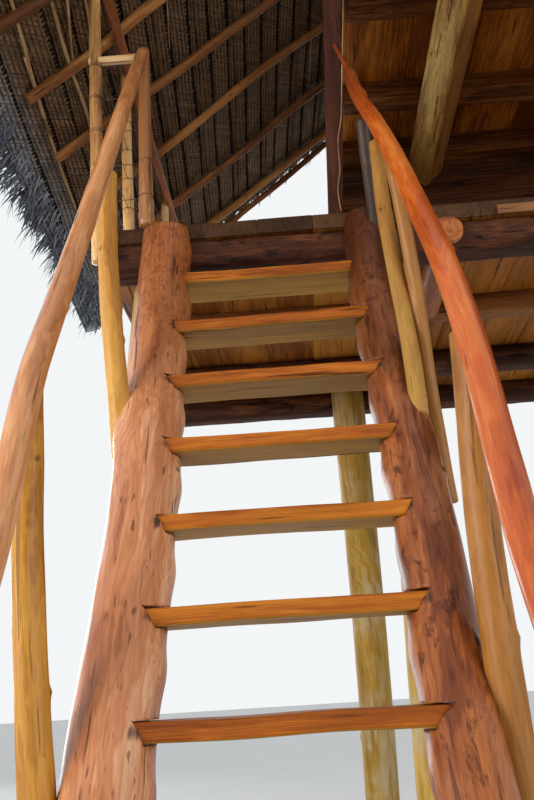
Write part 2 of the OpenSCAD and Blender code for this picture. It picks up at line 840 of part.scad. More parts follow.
module plate_forms(swell = 0) {
    at_both_sides() along_y(-plate_x, verge_front + 100, verge_rear - 100, plate_z,
        plate_d + 2 * swell);
}

module ridge_form(swell = 0) {
    along_y(ridge_x, verge_front - 20, verge_rear + 20, ridge_pole_z, ridge_d + 2 * swell);
}

module wall_plates() {
    color("peru") plate_forms();
}

module ridge_posts() {
    color("peru")
    difference() {
        for (y = [post_mid_y, rear_post_y])
            translate([ridge_x, y, cross_top])
                cylinder(h = ridge_pole_z - cross_top, d = ridge_post_d, $fn = 40);
        ridge_form(fit);
    }
}

module ridge_pole() {
    color("peru") ridge_form();
}

// Rafters and verge poles, notched over plate and ridge pole, with plumb cuts at the ridge
module rafters(side) {
    color("sienna")
    difference() {
        on_slope(side) {
            for (k = [0 : rafter_count - 1])
                translate([-60, rafter_y(k), 0])
                    rotate([0, 90, 0]) cylinder(h = rafter_l + 60, d = rafter_d, $fn = 24);
            for (y = [verge_front, verge_rear])
                translate([-60, y, 0.5 * (rafter_d - verge_d)])
                    rotate([0, 90, 0]) cylinder(h = rafter_l + 60, d = verge_d, $fn = 24);
        }
        plate_forms(fit);
        ridge_form(fit);
        if (side < 0) box(ridge_x - fit, far, -far, far, 0, far);
        else box(-far, ridge_x + fit, -far, far, 0, far);
    }
}

// Laths that run slightly askew to the ridge
module laths(side) {
    count = floor((rafter_l - lath_edge - lath_top) / lath_step);
    length = leaf_rear - leaf_front - 40;
    color("tan")
    on_slope(side)
    for (k = [0 : count])
        translate([rafter_l - lath_edge - k * lath_step, 0.5 * (leaf_front + leaf_rear),
            0.5 * rafter_d + fit])
        rotate([0, 0, -lath_skew])
        translate([-0.5 * lath_w, -0.5 * length, 0])
        cube([lath_w, length, lath_t]);
}

// One slope of leaf: flat underneath, with a stepped top where each course laps the one below
module thatch(side) {
    courses = floor((leaf_l - cap_l) / course_l);
    top = leaf_base + thatch_t;
    inner = leaf_l - courses * course_l;
    color(side < 0 ? "dimgray" : "gray")
    difference() {
        on_slope(side)
        translate([0, leaf_rear, 0])
        rotate([90, 0, 0])
        linear_extrude(leaf_rear - leaf_front)
        polygon(concat(
            [[-200, leaf_base], [-200, top + course_rise], [inner, top + course_rise]],
            [for (k = [1 : courses], edge = [0, 1])
                [inner + (k - edge == k ? k - 1 : k) * course_l + (edge == 0 ? 0.5 : 0),
                 top + (edge == 0 ? 0 : course_rise)]],
            [[leaf_l, leaf_base]]));
        if (side < 0) box(ridge_x - fit, far, -far, far, 0, far);
        else box(-far, ridge_x + fit, -far, far, 0, far);
    }
}

// A bent cover of leaf over the ridge
module ridge_cap() {
    base = leaf_base + thatch_t + course_rise + fit;
    low = base / cos(roof_pitch);
    high = (base + cap_t) / cos(roof_pitch);
    run = cap_l * cos(roof_pitch);
    drop = cap_l * sin(roof_pitch);
    skew_x = cap_t * sin(roof_pitch);
    skew_z = cap_t * cos(roof_pitch);
    edge_x = run + base * sin(roof_pitch);
    edge_z = base * cos(roof_pitch) - drop;
    color("gray")
    translate([ridge_x, leaf_rear, apex_z])
    rotate([90, 0, 0])
    linear_extrude(leaf_rear - leaf_front)
    polygon([[0, low], [edge_x, edge_z], [edge_x + skew_x, edge_z + skew_z], [0, high],
        [-edge_x - skew_x, edge_z + skew_z], [-edge_x, edge_z]]);
}

module placed() {
    translate([-ridge_x, -centre_y, 0]) children();
}

placed() color("darkorange") stringer(-1);  // stringer_left
placed() color("sienna") stringer(1);  // stringer_right
placed() tread(1);  // tread_01
placed() tread(2);  // tread_02
placed() tread(3);  // tread_03
placed() tread(4);  // tread_04
placed() tread(5);  // tread_05
placed() tread(6);  // tread_06
placed() tread(7);  // tread_07
placed() tread(8);  // tread_08
placed() tread(9);  // tread_09
placed() tread(10);  // tread_10
placed() handrail_left();
placed() handrail_right();
placed() rail_posts_left();
placed() rail_posts_right();
placed() rim_beam();
placed() rear_beams();
placed() deck_joist();
placed() deck_girders();
placed() deck_boards();
placed() front_slat();
placed() stilts_left();
placed() stilts_right();
placed() guard_poles_left();
placed() guard_wires_left();
placed() guard_poles_right();
placed() guard_wires_right();
placed() loft_posts_front();
placed() loft_posts_rear();
placed() loft_cross_beams();
placed() loft_girders();
placed() loft_joists();
placed() loft_boards();
placed() rear_wall();
placed() wall_plates();
placed() ridge_posts();
placed() ridge_pole();
placed() rafters(-1);  // rafters_left
placed() rafters(1);  // rafters_right
placed() laths(-1);  // laths_left
placed() laths(1);  // laths_right
placed() thatch(-1);  // thatch_left
placed() thatch(1);  // thatch_right
placed() ridge_cap();
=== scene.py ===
# %% [markdown]
# A stilt house of logs, boards and woven palm leaf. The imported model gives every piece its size
# and place. Here each piece gets the look of the real one: round logs with knots and grain,
# hewn beams, sawn boards and a roof of plaited leaf. Everything is in metres.

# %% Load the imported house
import math
import random

import bmesh
import bpy
import numpy as np
from mathutils import Matrix, Vector, noise


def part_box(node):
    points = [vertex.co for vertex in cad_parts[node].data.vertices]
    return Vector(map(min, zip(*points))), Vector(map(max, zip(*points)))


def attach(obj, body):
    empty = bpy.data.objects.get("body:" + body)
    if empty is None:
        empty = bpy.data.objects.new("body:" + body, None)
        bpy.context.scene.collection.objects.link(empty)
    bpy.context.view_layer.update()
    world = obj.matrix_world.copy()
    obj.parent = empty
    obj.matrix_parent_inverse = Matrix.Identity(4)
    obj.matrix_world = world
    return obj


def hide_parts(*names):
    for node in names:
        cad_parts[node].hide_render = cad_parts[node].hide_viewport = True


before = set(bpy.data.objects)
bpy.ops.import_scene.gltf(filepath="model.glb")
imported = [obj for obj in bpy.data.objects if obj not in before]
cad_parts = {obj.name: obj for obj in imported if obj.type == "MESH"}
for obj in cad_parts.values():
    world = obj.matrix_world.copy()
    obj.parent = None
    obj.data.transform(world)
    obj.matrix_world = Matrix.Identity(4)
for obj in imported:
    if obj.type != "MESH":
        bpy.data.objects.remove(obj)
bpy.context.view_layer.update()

# Without a seed, the noise that warps the boards would start from the clock.
noise.seed_set(1)
scene = bpy.context.scene
print("pieces in the packed house:", len(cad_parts))

# %% [markdown]
# The camera stands in front of the stair at eye height and looks up, as the visitor did. Its
# place was worked out from the treads, whose size and rise are known. Setting the matrix from
# three directions is the clearest way to give a camera a turn, a pitch and a slight roll at once.

# %% Camera
turn = math.radians(-1.91)
pitch = math.radians(18.79)
roll = math.radians(-3.60)
forward = Vector((math.sin(turn) * math.cos(pitch), math.cos(turn) * math.cos(pitch), math.sin(pitch)))
level_right = Vector((math.cos(turn), -math.sin(turn), 0))
level_up = level_right.cross(forward)
right = math.cos(roll) * level_right + math.sin(roll) * level_up
up = -math.sin(roll) * level_right + math.cos(roll) * level_up

PICTURE_HEIGHT = 800
FOCAL_PIXELS = 850
camera_data = bpy.data.cameras.new("visitor_camera")
camera_data.lens = FOCAL_PIXELS / PICTURE_HEIGHT * camera_data.sensor_width
camera_data.clip_end = 300
camera = bpy.data.objects.new("visitor_camera", camera_data)
camera.matrix_world = Matrix((
    (right.x, up.x, -forward.x, -1.437),
    (right.y, up.y, -forward.y, -3.7545),
    (right.z, up.z, -forward.z, 1.177),
    (0, 0, 0, 1),
))
scene.collection.objects.link(camera)
scene.camera = camera
print("lens in millimetres:", round(camera_data.lens, 2))

# %% [markdown]
# Shader maths reads best as ordinary expressions. A Signal wraps one socket, and each operator
# adds the Math node that does the sum. Everything else that a finish needs is added by one
# method, so that a finish is a short recipe and not a page of links.

# %% A socket that takes part in sums
class Signal:
    """One output socket. Sums of signals and numbers add their Math nodes."""

    def __init__(self, finish, socket):
        self.finish = finish
        self.socket = socket

    def sum_with(self, operation, first, second):
        return self.finish.node("ShaderNodeMath", {"operation": operation}, {0: first, 1: second})

    def __add__(self, other):
        return self.sum_with("ADD", self, other)

    def __radd__(self, other):
        return self.sum_with("ADD", other, self)

    def __sub__(self, other):
        return self.sum_with("SUBTRACT", self, other)

    def __rsub__(self, other):
        return self.sum_with("SUBTRACT", other, self)

    def __mul__(self, other):
        return self.sum_with("MULTIPLY", self, other)

    def __rmul__(self, other):
        return self.sum_with("MULTIPLY", other, self)

    def __truediv__(self, other):
        return self.sum_with("DIVIDE", self, other)

    def __pow__(self, other):
        return self.sum_with("POWER", self, other)


# %% A finish in the making
class Finish:
    """A material and the few ways of adding nodes to it."""

    def __init__(self, name):
        self.material = bpy.data.materials.new(name)
        self.material.use_nodes = True
        self.tree = self.material.node_tree
        self.shader = self.tree.nodes["Principled BSDF"]

    def node(self, kind, settings, values, output=0):
        made = self.tree.nodes.new(kind)
        for key, value in settings.items():
            if key == "stops":
                self.set_stops(made.color_ramp, value)
            else:
                setattr(made, key, value)
        for key, value in values.items():
            if isinstance(value, Signal):
                self.tree.links.new(value.socket, made.inputs[key])
            else:
                made.inputs[key].default_value = value
        return Signal(self, made.outputs[output])

    def set_stops(self, ramp, stops):
        while len(ramp.elements) < len(stops):
            ramp.elements.new(0.5)
        for element, (place, colour) in zip(ramp.elements, stops):
            element.position = place
            element.color = (*colour, 1)

    def lay(self, name):
        """A number that the piece's maker wrote on its points."""
        return self.node("ShaderNodeAttribute", {"attribute_name": name}, {}, "Fac")

    def lay_vector(self, name):
        return self.node("ShaderNodeAttribute", {"attribute_name": name}, {}, "Vector")

    def part(self, vector, axis):
        return self.node("ShaderNodeSeparateXYZ", {}, {0: vector}, axis)

    def shift(self, vector, amount):
        return self.node("ShaderNodeVectorMath", {"operation": "ADD"}, {0: vector, 1: amount})

    def stretch(self, vector, scales):
        return self.node("ShaderNodeVectorMath", {"operation": "MULTIPLY"}, {0: vector, 1: scales})

    def cloud(self, vector, scale, detail=3.0, rough=0.55, twist=0.0):
        values = {"Vector": vector, "Scale": scale, "Detail": detail, "Roughness": rough}
        values["Distortion"] = twist
        return self.node("ShaderNodeTexNoise", {}, values)

    def between(self, value, low, high):
        """0 below low, 1 above high, and smooth between them."""
        settings = {"interpolation_type": "SMOOTHSTEP"}
        return self.node("ShaderNodeMapRange", settings, {0: value, 1: low, 2: high, 3: 0.0, 4: 1.0})

    def mix(self, share, first, second):
        settings = {"data_type": "RGBA"}
        first = (*first, 1) if isinstance(first, tuple) else first
        second = (*second, 1) if isinstance(second, tuple) else second
        return self.node("ShaderNodeMix", settings, {0: share, 6: first, 7: second}, 2)

    def ramp(self, value, stops):
        return self.node("ShaderNodeValToRGB", {"stops": stops}, {0: value})

    def finish(self, colour, roughness, height=None, depth=0.001, **fixed):
        self.tree.links.new(colour.socket, self.shader.inputs["Base Color"])
        self.tree.links.new(roughness.socket, self.shader.inputs["Roughness"])
        for key, value in fixed.items():
            self.shader.inputs[key.replace("_", " ")].default_value = value
        if height is not None:
            bump = self.node("ShaderNodeBump", {}, {"Strength": 1.0, "Distance": depth, "Height": height})
            self.tree.links.new(bump.socket, self.shader.inputs["Normal"])
        return self.material


# %% [markdown]
# Wood looks right when its pattern runs with the grain, so every wooden piece carries its own
# unbent coordinates in an attribute named grain: two measures across the piece and the length
# along it. A recipe can then stretch its clouds along the third one, whatever way the log lies.
# The attribute tone is a number for each separate log or board, so that no two look alike. Four
# more attributes are painted on the points of a piece: knot where a branch grew, stain where
# water and hands have darkened the wood, raw where it shows its second colour, such as a sawn end
# or the dark head of a log, and grey where a pole has weathered. On the ends of the deck boards
# raw is dark end grain darkened further as painted shade, and on the loft girders it is painted
# shade alone, on their right faces and rear ends. A piece without one of them reads it as zero.

# %% The finish of worked wood
WEATHERED = (0.045, 0.029, 0.021)
SOILED = (0.020, 0.011, 0.007)


def darker(colour, share):
    return tuple(c * share for c in colour)


def wood(name, pale, mid, deep, swirl=0.15, lines=0.35, fleck=0.0, patch=0.0, gloss=0.45, coat=0.15,
         fibre=0.35, relief=0.0012, bloom=None, raw=None, vary=0.22, cracks=0.75, shine=0.3,
         head_bark=0.0):
    """Pale, mid and deep are the colours of the grain. Swirl and lines are the strength of the
    wide and the yearly rings, fibre that of the fine grain, and vary how much logs differ."""
    f = Finish(name)
    tone = f.lay("tone")
    own = f.node("ShaderNodeCombineXYZ", {}, {0: tone * 3.7, 1: tone * 5.3, 2: tone * 9.1})
    grain = f.lay_vector("grain")
    place = f.shift(grain, own)
    radius = (f.part(grain, 0) ** 2.0 + f.part(grain, 1) ** 2.0) ** 0.5
    broad = f.cloud(f.stretch(place, (1.0, 1.0, 0.16)), 7.0, 4.0, 0.6, 0.3)
    middle = f.cloud(f.stretch(place, (1.0, 1.0, 0.10)), 34.0, 4.0, 0.65, 0.4)
    fine = f.cloud(f.stretch(place, (1.0, 1.0, 0.03)), 190.0, 4.0, 0.7)
    hair = f.cloud(f.stretch(place, (1.0, 1.0, 0.02)), 460.0, 2.0, 0.6)
    wide_ring = f.node("ShaderNodeMath", {"operation": "SINE"}, {0: radius * 214.0 + broad * 24.0})
    years = radius * 1450.0 + broad * 90.0 + middle * 9.0
    year_ring = f.node("ShaderNodeMath", {"operation": "SINE"}, {0: years})
    value = (0.5 + (broad - 0.5) * 1.1 + (middle - 0.5) * 0.5 + wide_ring * (0.2 * swirl)
             + year_ring * (0.12 * lines) + (fine - 0.5) * fibre + (tone - 0.5) * vary)
    colour = f.ramp(value, [(0.22, deep), (0.5, mid), (0.78, pale)])
    if bloom is not None:
        cover = f.between(f.cloud(place, 3.1, 3.0, 0.6), 0.46, 0.66) * f.between(middle, 0.35, 0.6)
        colour = f.mix(cover * 0.7, colour, bloom)
    # The second colour is painted shade on the loft girders' right faces and rear ends, and in part painted
    # shade on the deck boards' dark ends.
    if raw is not None:
        second = f.ramp(value, [(0.25, darker(raw, 0.5)), (0.7, raw)])
        colour = f.mix(f.lay("raw") * 0.92, colour, second)
    if patch:
        rough_bark = f.cloud(f.stretch(place, (1.0, 1.0, 0.4)), 16.0, 5.0, 0.7, 0.6)
        colour = f.mix(f.between(rough_bark, 0.54, 0.66) * patch, colour, darker(deep, 0.3))
    if head_bark:
        pits = f.cloud(f.stretch(place, (1.0, 1.0, 0.5)), 42.0, 4.0, 0.7, 0.6)
        pitted = f.between(pits, 0.5, 0.62) * f.lay("raw") * head_bark
        colour = f.mix(pitted, colour, darker(deep, 0.5))
    split = f.cloud(f.stretch(place, (1.0, 1.0, 0.05)), 46.0, 2.0, 0.5, 0.4)
    check = f.between(split, 0.66, 0.70)
    colour = f.mix(check * cracks, colour, darker(deep, 0.2))
    if fleck:
        speck = f.cloud(f.stretch(place, (1.0, 1.0, 0.22)), 75.0, 2.0, 0.5)
        colour = f.mix(f.between(speck, 0.66, 0.71) * fleck, colour, darker(deep, 0.3))
    faded = f.lay("grey") * f.between(middle * 0.6 + broad * 0.6, 0.34, 0.60)
    colour = f.mix(faded, colour, WEATHERED)
    knot = f.lay("knot")
    colour = f.mix(f.between(knot, 0.25, 0.8) * 0.8, colour, darker(deep, 0.4))
    stain = f.between(f.lay("stain") + (middle - 0.5) * 1.5 + (fine - 0.5) * 0.6, 0.42, 0.85)
    colour = f.mix(stain * 0.9, colour, SOILED)
    roughness = gloss + (fine - 0.5) * 0.25 + (broad - 0.5) * 0.2 + stain * 0.3 + check * 0.2
    height = fine * 0.35 + middle * 0.5 + year_ring * 0.04 - check * 1.6 + hair * 0.2 + broad * 0.5
    return f.finish(colour, roughness, height, relief, Coat_Weight=coat, Coat_Roughness=0.25,
                    Specular_IOR_Level=shine)


# %% The woods of this house
finishes = {
    "stair_log_orange": wood("orange_stair_log", (0.70, 0.42, 0.25), (0.49, 0.195, 0.080),
                             (0.24, 0.062, 0.016), fleck=0.7, gloss=0.4, coat=0.25,
                             raw=(0.40, 0.12, 0.03), head_bark=0.7),
    "stair_log_brown": wood("brown_stair_log", (0.42, 0.14, 0.040), (0.21, 0.053, 0.013),
                            (0.070, 0.016, 0.005), swirl=0.3, fleck=0.3, patch=0.7, gloss=0.36, coat=0.2,
                            relief=0.002, cracks=0.5, bloom=(0.31, 0.12, 0.050), shine=0.2,
                            raw=(0.075, 0.019, 0.006), head_bark=0.7),
    "tread_plank": wood("tread_plank", (0.56, 0.19, 0.018), (0.34, 0.088, 0.008), (0.12, 0.026, 0.003),
                        swirl=0.2, lines=0.6, gloss=0.5, coat=0.04, raw=(0.50, 0.265, 0.035), shine=0.15),
    "rail_pole": wood("orange_rail", (0.70, 0.38, 0.18), (0.49, 0.20, 0.072), (0.26, 0.08, 0.022),
                      fleck=0.3, gloss=0.3, coat=0.45),
    "rail_pole_bright": wood("bright_rail", (0.62, 0.20, 0.034), (0.43, 0.082, 0.009), (0.24, 0.034, 0.005),
                             fleck=0.2, gloss=0.3, coat=0.4, raw=(0.20, 0.038, 0.008)),
    "yellow_pole": wood("yellow_post", (0.66, 0.38, 0.066), (0.50, 0.235, 0.034), (0.27, 0.095, 0.013),
                        fleck=0.25, gloss=0.42, coat=0.06, raw=(0.40, 0.155, 0.036), cracks=0.45, shine=0.2),
    "dark_log": wood("dark_log", (0.15, 0.050, 0.017), (0.055, 0.017, 0.007), (0.020, 0.007, 0.004),
                     swirl=0.4, patch=0.9, gloss=0.65, coat=0.0, relief=0.004, shine=0.15),
    "sawn_joist": wood("sawn_joist", (0.38, 0.18, 0.055), (0.25, 0.088, 0.022), (0.11, 0.032, 0.009),
                       lines=0.5, patch=0.3, gloss=0.6, coat=0.0, shine=0.15),
    "dark_joist": wood("dark_joist", (0.36, 0.145, 0.036), (0.185, 0.058, 0.012), (0.06, 0.016, 0.004),
                       swirl=0.5, lines=0.5, fibre=0.9, patch=0.5, gloss=0.6, coat=0.0, relief=0.004,
                       shine=0.15),
    "round_log": wood("round_log", (0.46, 0.16, 0.045), (0.29, 0.082, 0.019), (0.12, 0.030, 0.008),
                      swirl=0.3, lines=0.6, fleck=0.4, gloss=0.5, coat=0.06, shine=0.2),
    # The deck plank's near-black raw colour is its end grain, darkened further as painted shade.
    "deck_plank": wood("deck_plank", (0.44, 0.18, 0.028), (0.31, 0.105, 0.014), (0.15, 0.042, 0.006),
                       swirl=0.3, lines=0.4, gloss=0.55, coat=0.0, vary=0.4, raw=(0.050, 0.023, 0.011),
                       shine=0.15),
    "loft_plank": wood("loft_plank", (0.72, 0.29, 0.042), (0.48, 0.16, 0.018), (0.18, 0.048, 0.006),
                       swirl=0.26, lines=0.2, patch=0.3, gloss=0.6, coat=0.0, vary=0.45, shine=0.12),
    "pale_slat": wood("pale_slat", (0.44, 0.22, 0.08), (0.30, 0.13, 0.04), (0.17, 0.065, 0.02),
                      gloss=0.6, coat=0.0),
    "pale_log": wood("pale_stilt", (0.45, 0.29, 0.060), (0.30, 0.172, 0.020), (0.19, 0.095, 0.011),
                     swirl=0.05, fleck=0.15, gloss=0.6, coat=0.0, bloom=(0.40, 0.34, 0.22),
                     raw=(0.30, 0.11, 0.02), cracks=0.25, relief=0.0008, shine=0.2),
    "guard_pole": wood("guard_pole", (0.80, 0.57, 0.31), (0.60, 0.33, 0.115), (0.24, 0.09, 0.025),
                       fleck=0.5, gloss=0.38, coat=0.2, vary=0.7),
    "red_post": wood("red_post", (0.085, 0.027, 0.013), (0.052, 0.014, 0.006), (0.025, 0.007, 0.004),
                     gloss=0.6, coat=0.0, shine=0.15),
    # The pale girder's raw colour is painted shade, laid on its right faces and rear ends.
    "pale_girder": wood("pale_girder", (0.88, 0.66, 0.22), (0.76, 0.50, 0.125), (0.34, 0.15, 0.032),
                        swirl=0.3, fleck=0.9, gloss=0.6, coat=0.0, relief=0.003, raw=(0.40, 0.15, 0.035),
                        shine=0.12),
    "wall_board": wood("wall_board", (0.15, 0.050, 0.015), (0.078, 0.024, 0.008), (0.028, 0.009, 0.004),
                       swirl=0.5, gloss=0.6, coat=0.0, vary=0.4, shine=0.15),
    "rafter_pole": wood("rafter_pole", (0.44, 0.20, 0.055), (0.25, 0.092, 0.022), (0.09, 0.028, 0.008),
                        fleck=0.5, gloss=0.55, coat=0.03, vary=0.5, shine=0.2),
    "split_lath": wood("split_lath", (0.20, 0.115, 0.055), (0.11, 0.060, 0.027), (0.045, 0.022, 0.011),
                       gloss=0.7, coat=0.0, shine=0.1),
}
crooked_stick = wood("crooked_stick", (0.52, 0.36, 0.20), (0.36, 0.22, 0.10), (0.17, 0.09, 0.035),
                     fleck=0.6, gloss=0.6, coat=0.0, shine=0.1)
print("woods:", len(finishes) + 1)

# %% [markdown]
# Dry palm leaf is matt and fibrous. On each leaflet u runs from its root to its tip and v from
# edge to edge, both written in the attribute leaf with a third number that differs from leaflet
# to leaflet. Long fine veins, blotches and a tip of another colour do most of the work. Inside the
# roof the leaf is still brown, and outside the weather has bleached it to a bluish grey. Where
# the inside nears the eave, the attribute weather lets it turn grey as well.

# %% The finish of dry palm leaf
def palm_leaf(name, pale, mid, deep, tip, vein=0.35):
    f = Finish(name)
    leaf = f.lay_vector("leaf")
    lengthways = f.part(leaf, 0)
    sideways = f.part(leaf, 1)
    own = f.part(leaf, 2)
    place = f.node("ShaderNodeCombineXYZ", {}, {0: lengthways * 2.0, 1: sideways * 22.0, 2: own * 91.0})
    veins = f.cloud(place, 1.0, 3.0, 0.65)
    wide_place = f.node("ShaderNodeCombineXYZ", {}, {0: lengthways * 4.0, 1: sideways * 1.2, 2: own * 57.0})
    blotch = f.cloud(wide_place, 1.6)
    value = 0.5 + (veins - 0.5) * vein * 2.0 + (blotch - 0.5) * 0.7 + (own - 0.5) * 0.62
    colour = f.ramp(value, [(0.18, deep), (0.5, mid), (0.85, pale)])
    colour = f.mix(f.between(lengthways, 0.55, 1.0) * 0.8, colour, tip)
    bleached = f.ramp(value, [(0.25, (0.042, 0.05, 0.060)), (0.75, (0.31, 0.37, 0.43))])
    colour = f.mix(f.lay("weather") * 0.85, colour, bleached)
    height = veins * 0.7 + blotch * 0.3
    return f.finish(colour, 0.72 + (veins - 0.5) * 0.3, height, 0.0012, Specular_IOR_Level=0.3)


leaf_inside = palm_leaf("woven_leaf", (0.24, 0.145, 0.070), (0.115, 0.064, 0.029), (0.032, 0.017, 0.009),
                        (0.055, 0.032, 0.018))
leaf_outside = palm_leaf("weathered_leaf", (0.34, 0.30, 0.24), (0.19, 0.165, 0.13), (0.075, 0.062, 0.05),
                         (0.24, 0.235, 0.225))
leaf_fringe = palm_leaf("fringe_leaf", (0.40, 0.45, 0.52), (0.21, 0.245, 0.30), (0.07, 0.085, 0.11),
                        (0.045, 0.052, 0.070))
# The bed of leaf is painted almost black: painted shadow for the shade behind the plaited strips.
leaf_shadow = palm_leaf("painted_shadow_bed", (0.050, 0.033, 0.020), (0.024, 0.016, 0.010), (0.010, 0.007, 0.005),
                        (0.02, 0.014, 0.01))

# %% [markdown]
# The wires of the guard are thin iron wire that has gone dull and brown.

# %% The finish of weathered wire
def weathered_wire():
    f = Finish("weathered_wire")
    place = f.node("ShaderNodeTexCoord", {}, {}, "Object")
    rust = f.between(f.cloud(place, 60.0, 3.0), 0.45, 0.6)
    colour = f.mix(rust, (0.075, 0.066, 0.058), (0.045, 0.024, 0.015))
    return f.finish(colour, 0.5 + rust * 0.3, f.cloud(place, 300.0), 0.0003, Metallic=0.4)


finishes["guard_wire"] = weathered_wire()

# %% [markdown]
# Each finished mesh becomes an object at the origin that rides on the house, and the imported
# nodes that it replaces are hidden. The house has one body, because nothing on it moves.

# %% Handing a piece over to the house
def hand_over(name, mesh, slot, nodes=(), finish=None, smooth=True):
    mesh.materials.clear()
    mesh.materials.append(finish or finishes[slot])
    mesh.polygons.foreach_set("use_smooth", [smooth] * len(mesh.polygons))
    piece = bpy.data.objects.new(name, mesh)
    scene.collection.objects.link(piece)
    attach(piece, "root")
    if nodes:
        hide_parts(*nodes)
    triangles = sum(len(p.vertices) - 2 for p in mesh.polygons)
    print(name, "has", triangles, "triangles")
    return piece


def to_mesh(name, bm):
    bmesh.ops.recalc_face_normals(bm, faces=bm.faces)
    mesh = bpy.data.meshes.new(name)
    bm.to_mesh(mesh)
    bm.free()
    return mesh


def as_object(name, mesh):
    made = bpy.data.objects.new(name, mesh)
    scene.collection.objects.link(made)
    return made


def everything(bm):
    return bm.verts[:] + bm.edges[:] + bm.faces[:]


def slice_at(bm, place, direction):
    """Adds a row of edges where a plane crosses the piece."""
    bmesh.ops.bisect_plane(bm, geom=everything(bm), plane_co=place, plane_no=direction)


def saw_off(bm, place, away):
    """Takes off what lies beyond a plane, and closes the cut."""
    cut = bmesh.ops.bisect_plane(bm, geom=everything(bm), plane_co=place, plane_no=away, clear_outer=True)
    rim = [e for e in cut["geom_cut"] if isinstance(e, bmesh.types.BMEdge)]
    if rim:
        bmesh.ops.contextual_create(bm, geom=rim)


def points_of(mesh):
    points = np.zeros(len(mesh.vertices) * 3)
    mesh.vertices.foreach_get("co", points)
    return points.reshape(-1, 3)


def write_on(mesh, name, values):
    """Writes one number or one vector on each point of a mesh."""
    if name in mesh.attributes:
        mesh.attributes.remove(mesh.attributes[name])
    values = np.asarray(values, np.float32)
    if values.ndim == 2:
        mesh.attributes.new(name, "FLOAT_VECTOR", "POINT").data.foreach_set("vector", values.ravel())
    else:
        mesh.attributes.new(name, "FLOAT", "POINT").data.foreach_set("value", values)


def packed_copy(node):
    """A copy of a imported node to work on, with its seams merged."""
    bm = bmesh.new()
    bm.from_mesh(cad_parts[node].data)
    bmesh.ops.remove_doubles(bm, verts=bm.verts, dist=1e-5)
    return bm


# %% [markdown]
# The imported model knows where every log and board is. A node that holds several boards is split
# into its separate solids here, and each gives its corners, so that no size is typed twice.

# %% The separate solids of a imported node
def solids(node):
    bm = packed_copy(node)
    waiting = set(bm.verts)
    groups = []
    for start in bm.verts:
        if start not in waiting:
            continue
        waiting.remove(start)
        front = [start]
        group = []
        while front:
            vert = front.pop()
            group.append(tuple(vert.co))
            for edge in vert.link_edges:
                other = edge.other_vert(vert)
                if other in waiting:
                    waiting.remove(other)
                    front.append(other)
        groups.append(np.array(group))
    bm.free()
    return sorted(groups, key=lambda g: (round(g[:, 0].mean(), 2), round(g[:, 1].mean(), 2), g[:, 2].mean()))


def corners(solid):
    return Vector(solid.min(0)), Vector(solid.max(0))


def level_line(solid, axis, gap=0.004):
    """The centre line and the radii of a log whose rings lie square to an axis."""
    order = solid[solid[:, axis].argsort()]
    breaks = np.where(np.diff(order[:, axis]) > gap)[0] + 1
    rings = [r for r in np.split(order, breaks) if len(r) > 4]
    line = [Vector(r.mean(0)) for r in rings]
    across = [a for a in range(3) if a != axis]
    radii = [float(np.linalg.norm(r[:, across] - r.mean(0)[across], axis=1).mean()) for r in rings]
    return line, radii


def long_line(solid):
    """The two ends of a straight pole. Its longest measure grows from the first to the second."""
    middle = solid.mean(0)
    direction = np.linalg.svd(solid - middle, full_matrices=False)[2][0]
    direction *= np.sign(direction[np.abs(direction).argmax()])
    along = (solid - middle) @ direction
    return Vector(middle + along.min() * direction), Vector(middle + along.max() * direction)


def at(x, y, z):
    """A place measured from the middle of the stair's foot."""
    return Vector((x - 1.5, y - 2.2675, z))


# %% [markdown]
# A log or pole could be a plain cylinder, but a natural one bends, swells and has knots. Here a
# flat sheet of faces is rolled up round a centre line, like bark round a trunk. Each point keeps
# its unbent place in the grain attribute, and its radius wanders a little with a soft noise.
# Knots are low bumps that also carry the knot attribute, so that the finish can darken them.

# %% Rolling a pole round its centre line
def smooth_line(line, step):
    """Points at an even step along a smooth curve through the given ones."""
    dense = []
    for k in range(len(line) - 1):
        a = line[max(k - 1, 0)]
        b = line[k]
        c = line[k + 1]
        d = line[min(k + 2, len(line) - 1)]
        for i in range(12):
            t = i / 12
            dense.append(0.5 * (2 * b + (c - a) * t + (2 * a - 5 * b + 4 * c - d) * t ** 2
                                + (3 * b - a - 3 * c + d) * t ** 3))
    dense.append(line[-1])
    lengths = np.concatenate([[0], np.cumsum([(q - p).length for p, q in zip(dense, dense[1:])])])
    count = max(int(round(lengths[-1] / step)), 2)
    wanted = np.linspace(0, lengths[-1], count + 1)
    points = np.array([tuple(p) for p in dense])
    return np.stack([np.interp(wanted, lengths, points[:, a]) for a in range(3)], 1), wanted


def nearness(angle, turn_at, radius, along, mark_at, size):
    """How many times its own size a mark on the bark is away, round the pole and along it."""
    turned = (angle - turn_at + math.pi) % (2 * math.pi) - math.pi
    return math.hypot(turned * radius, along - mark_at) / size


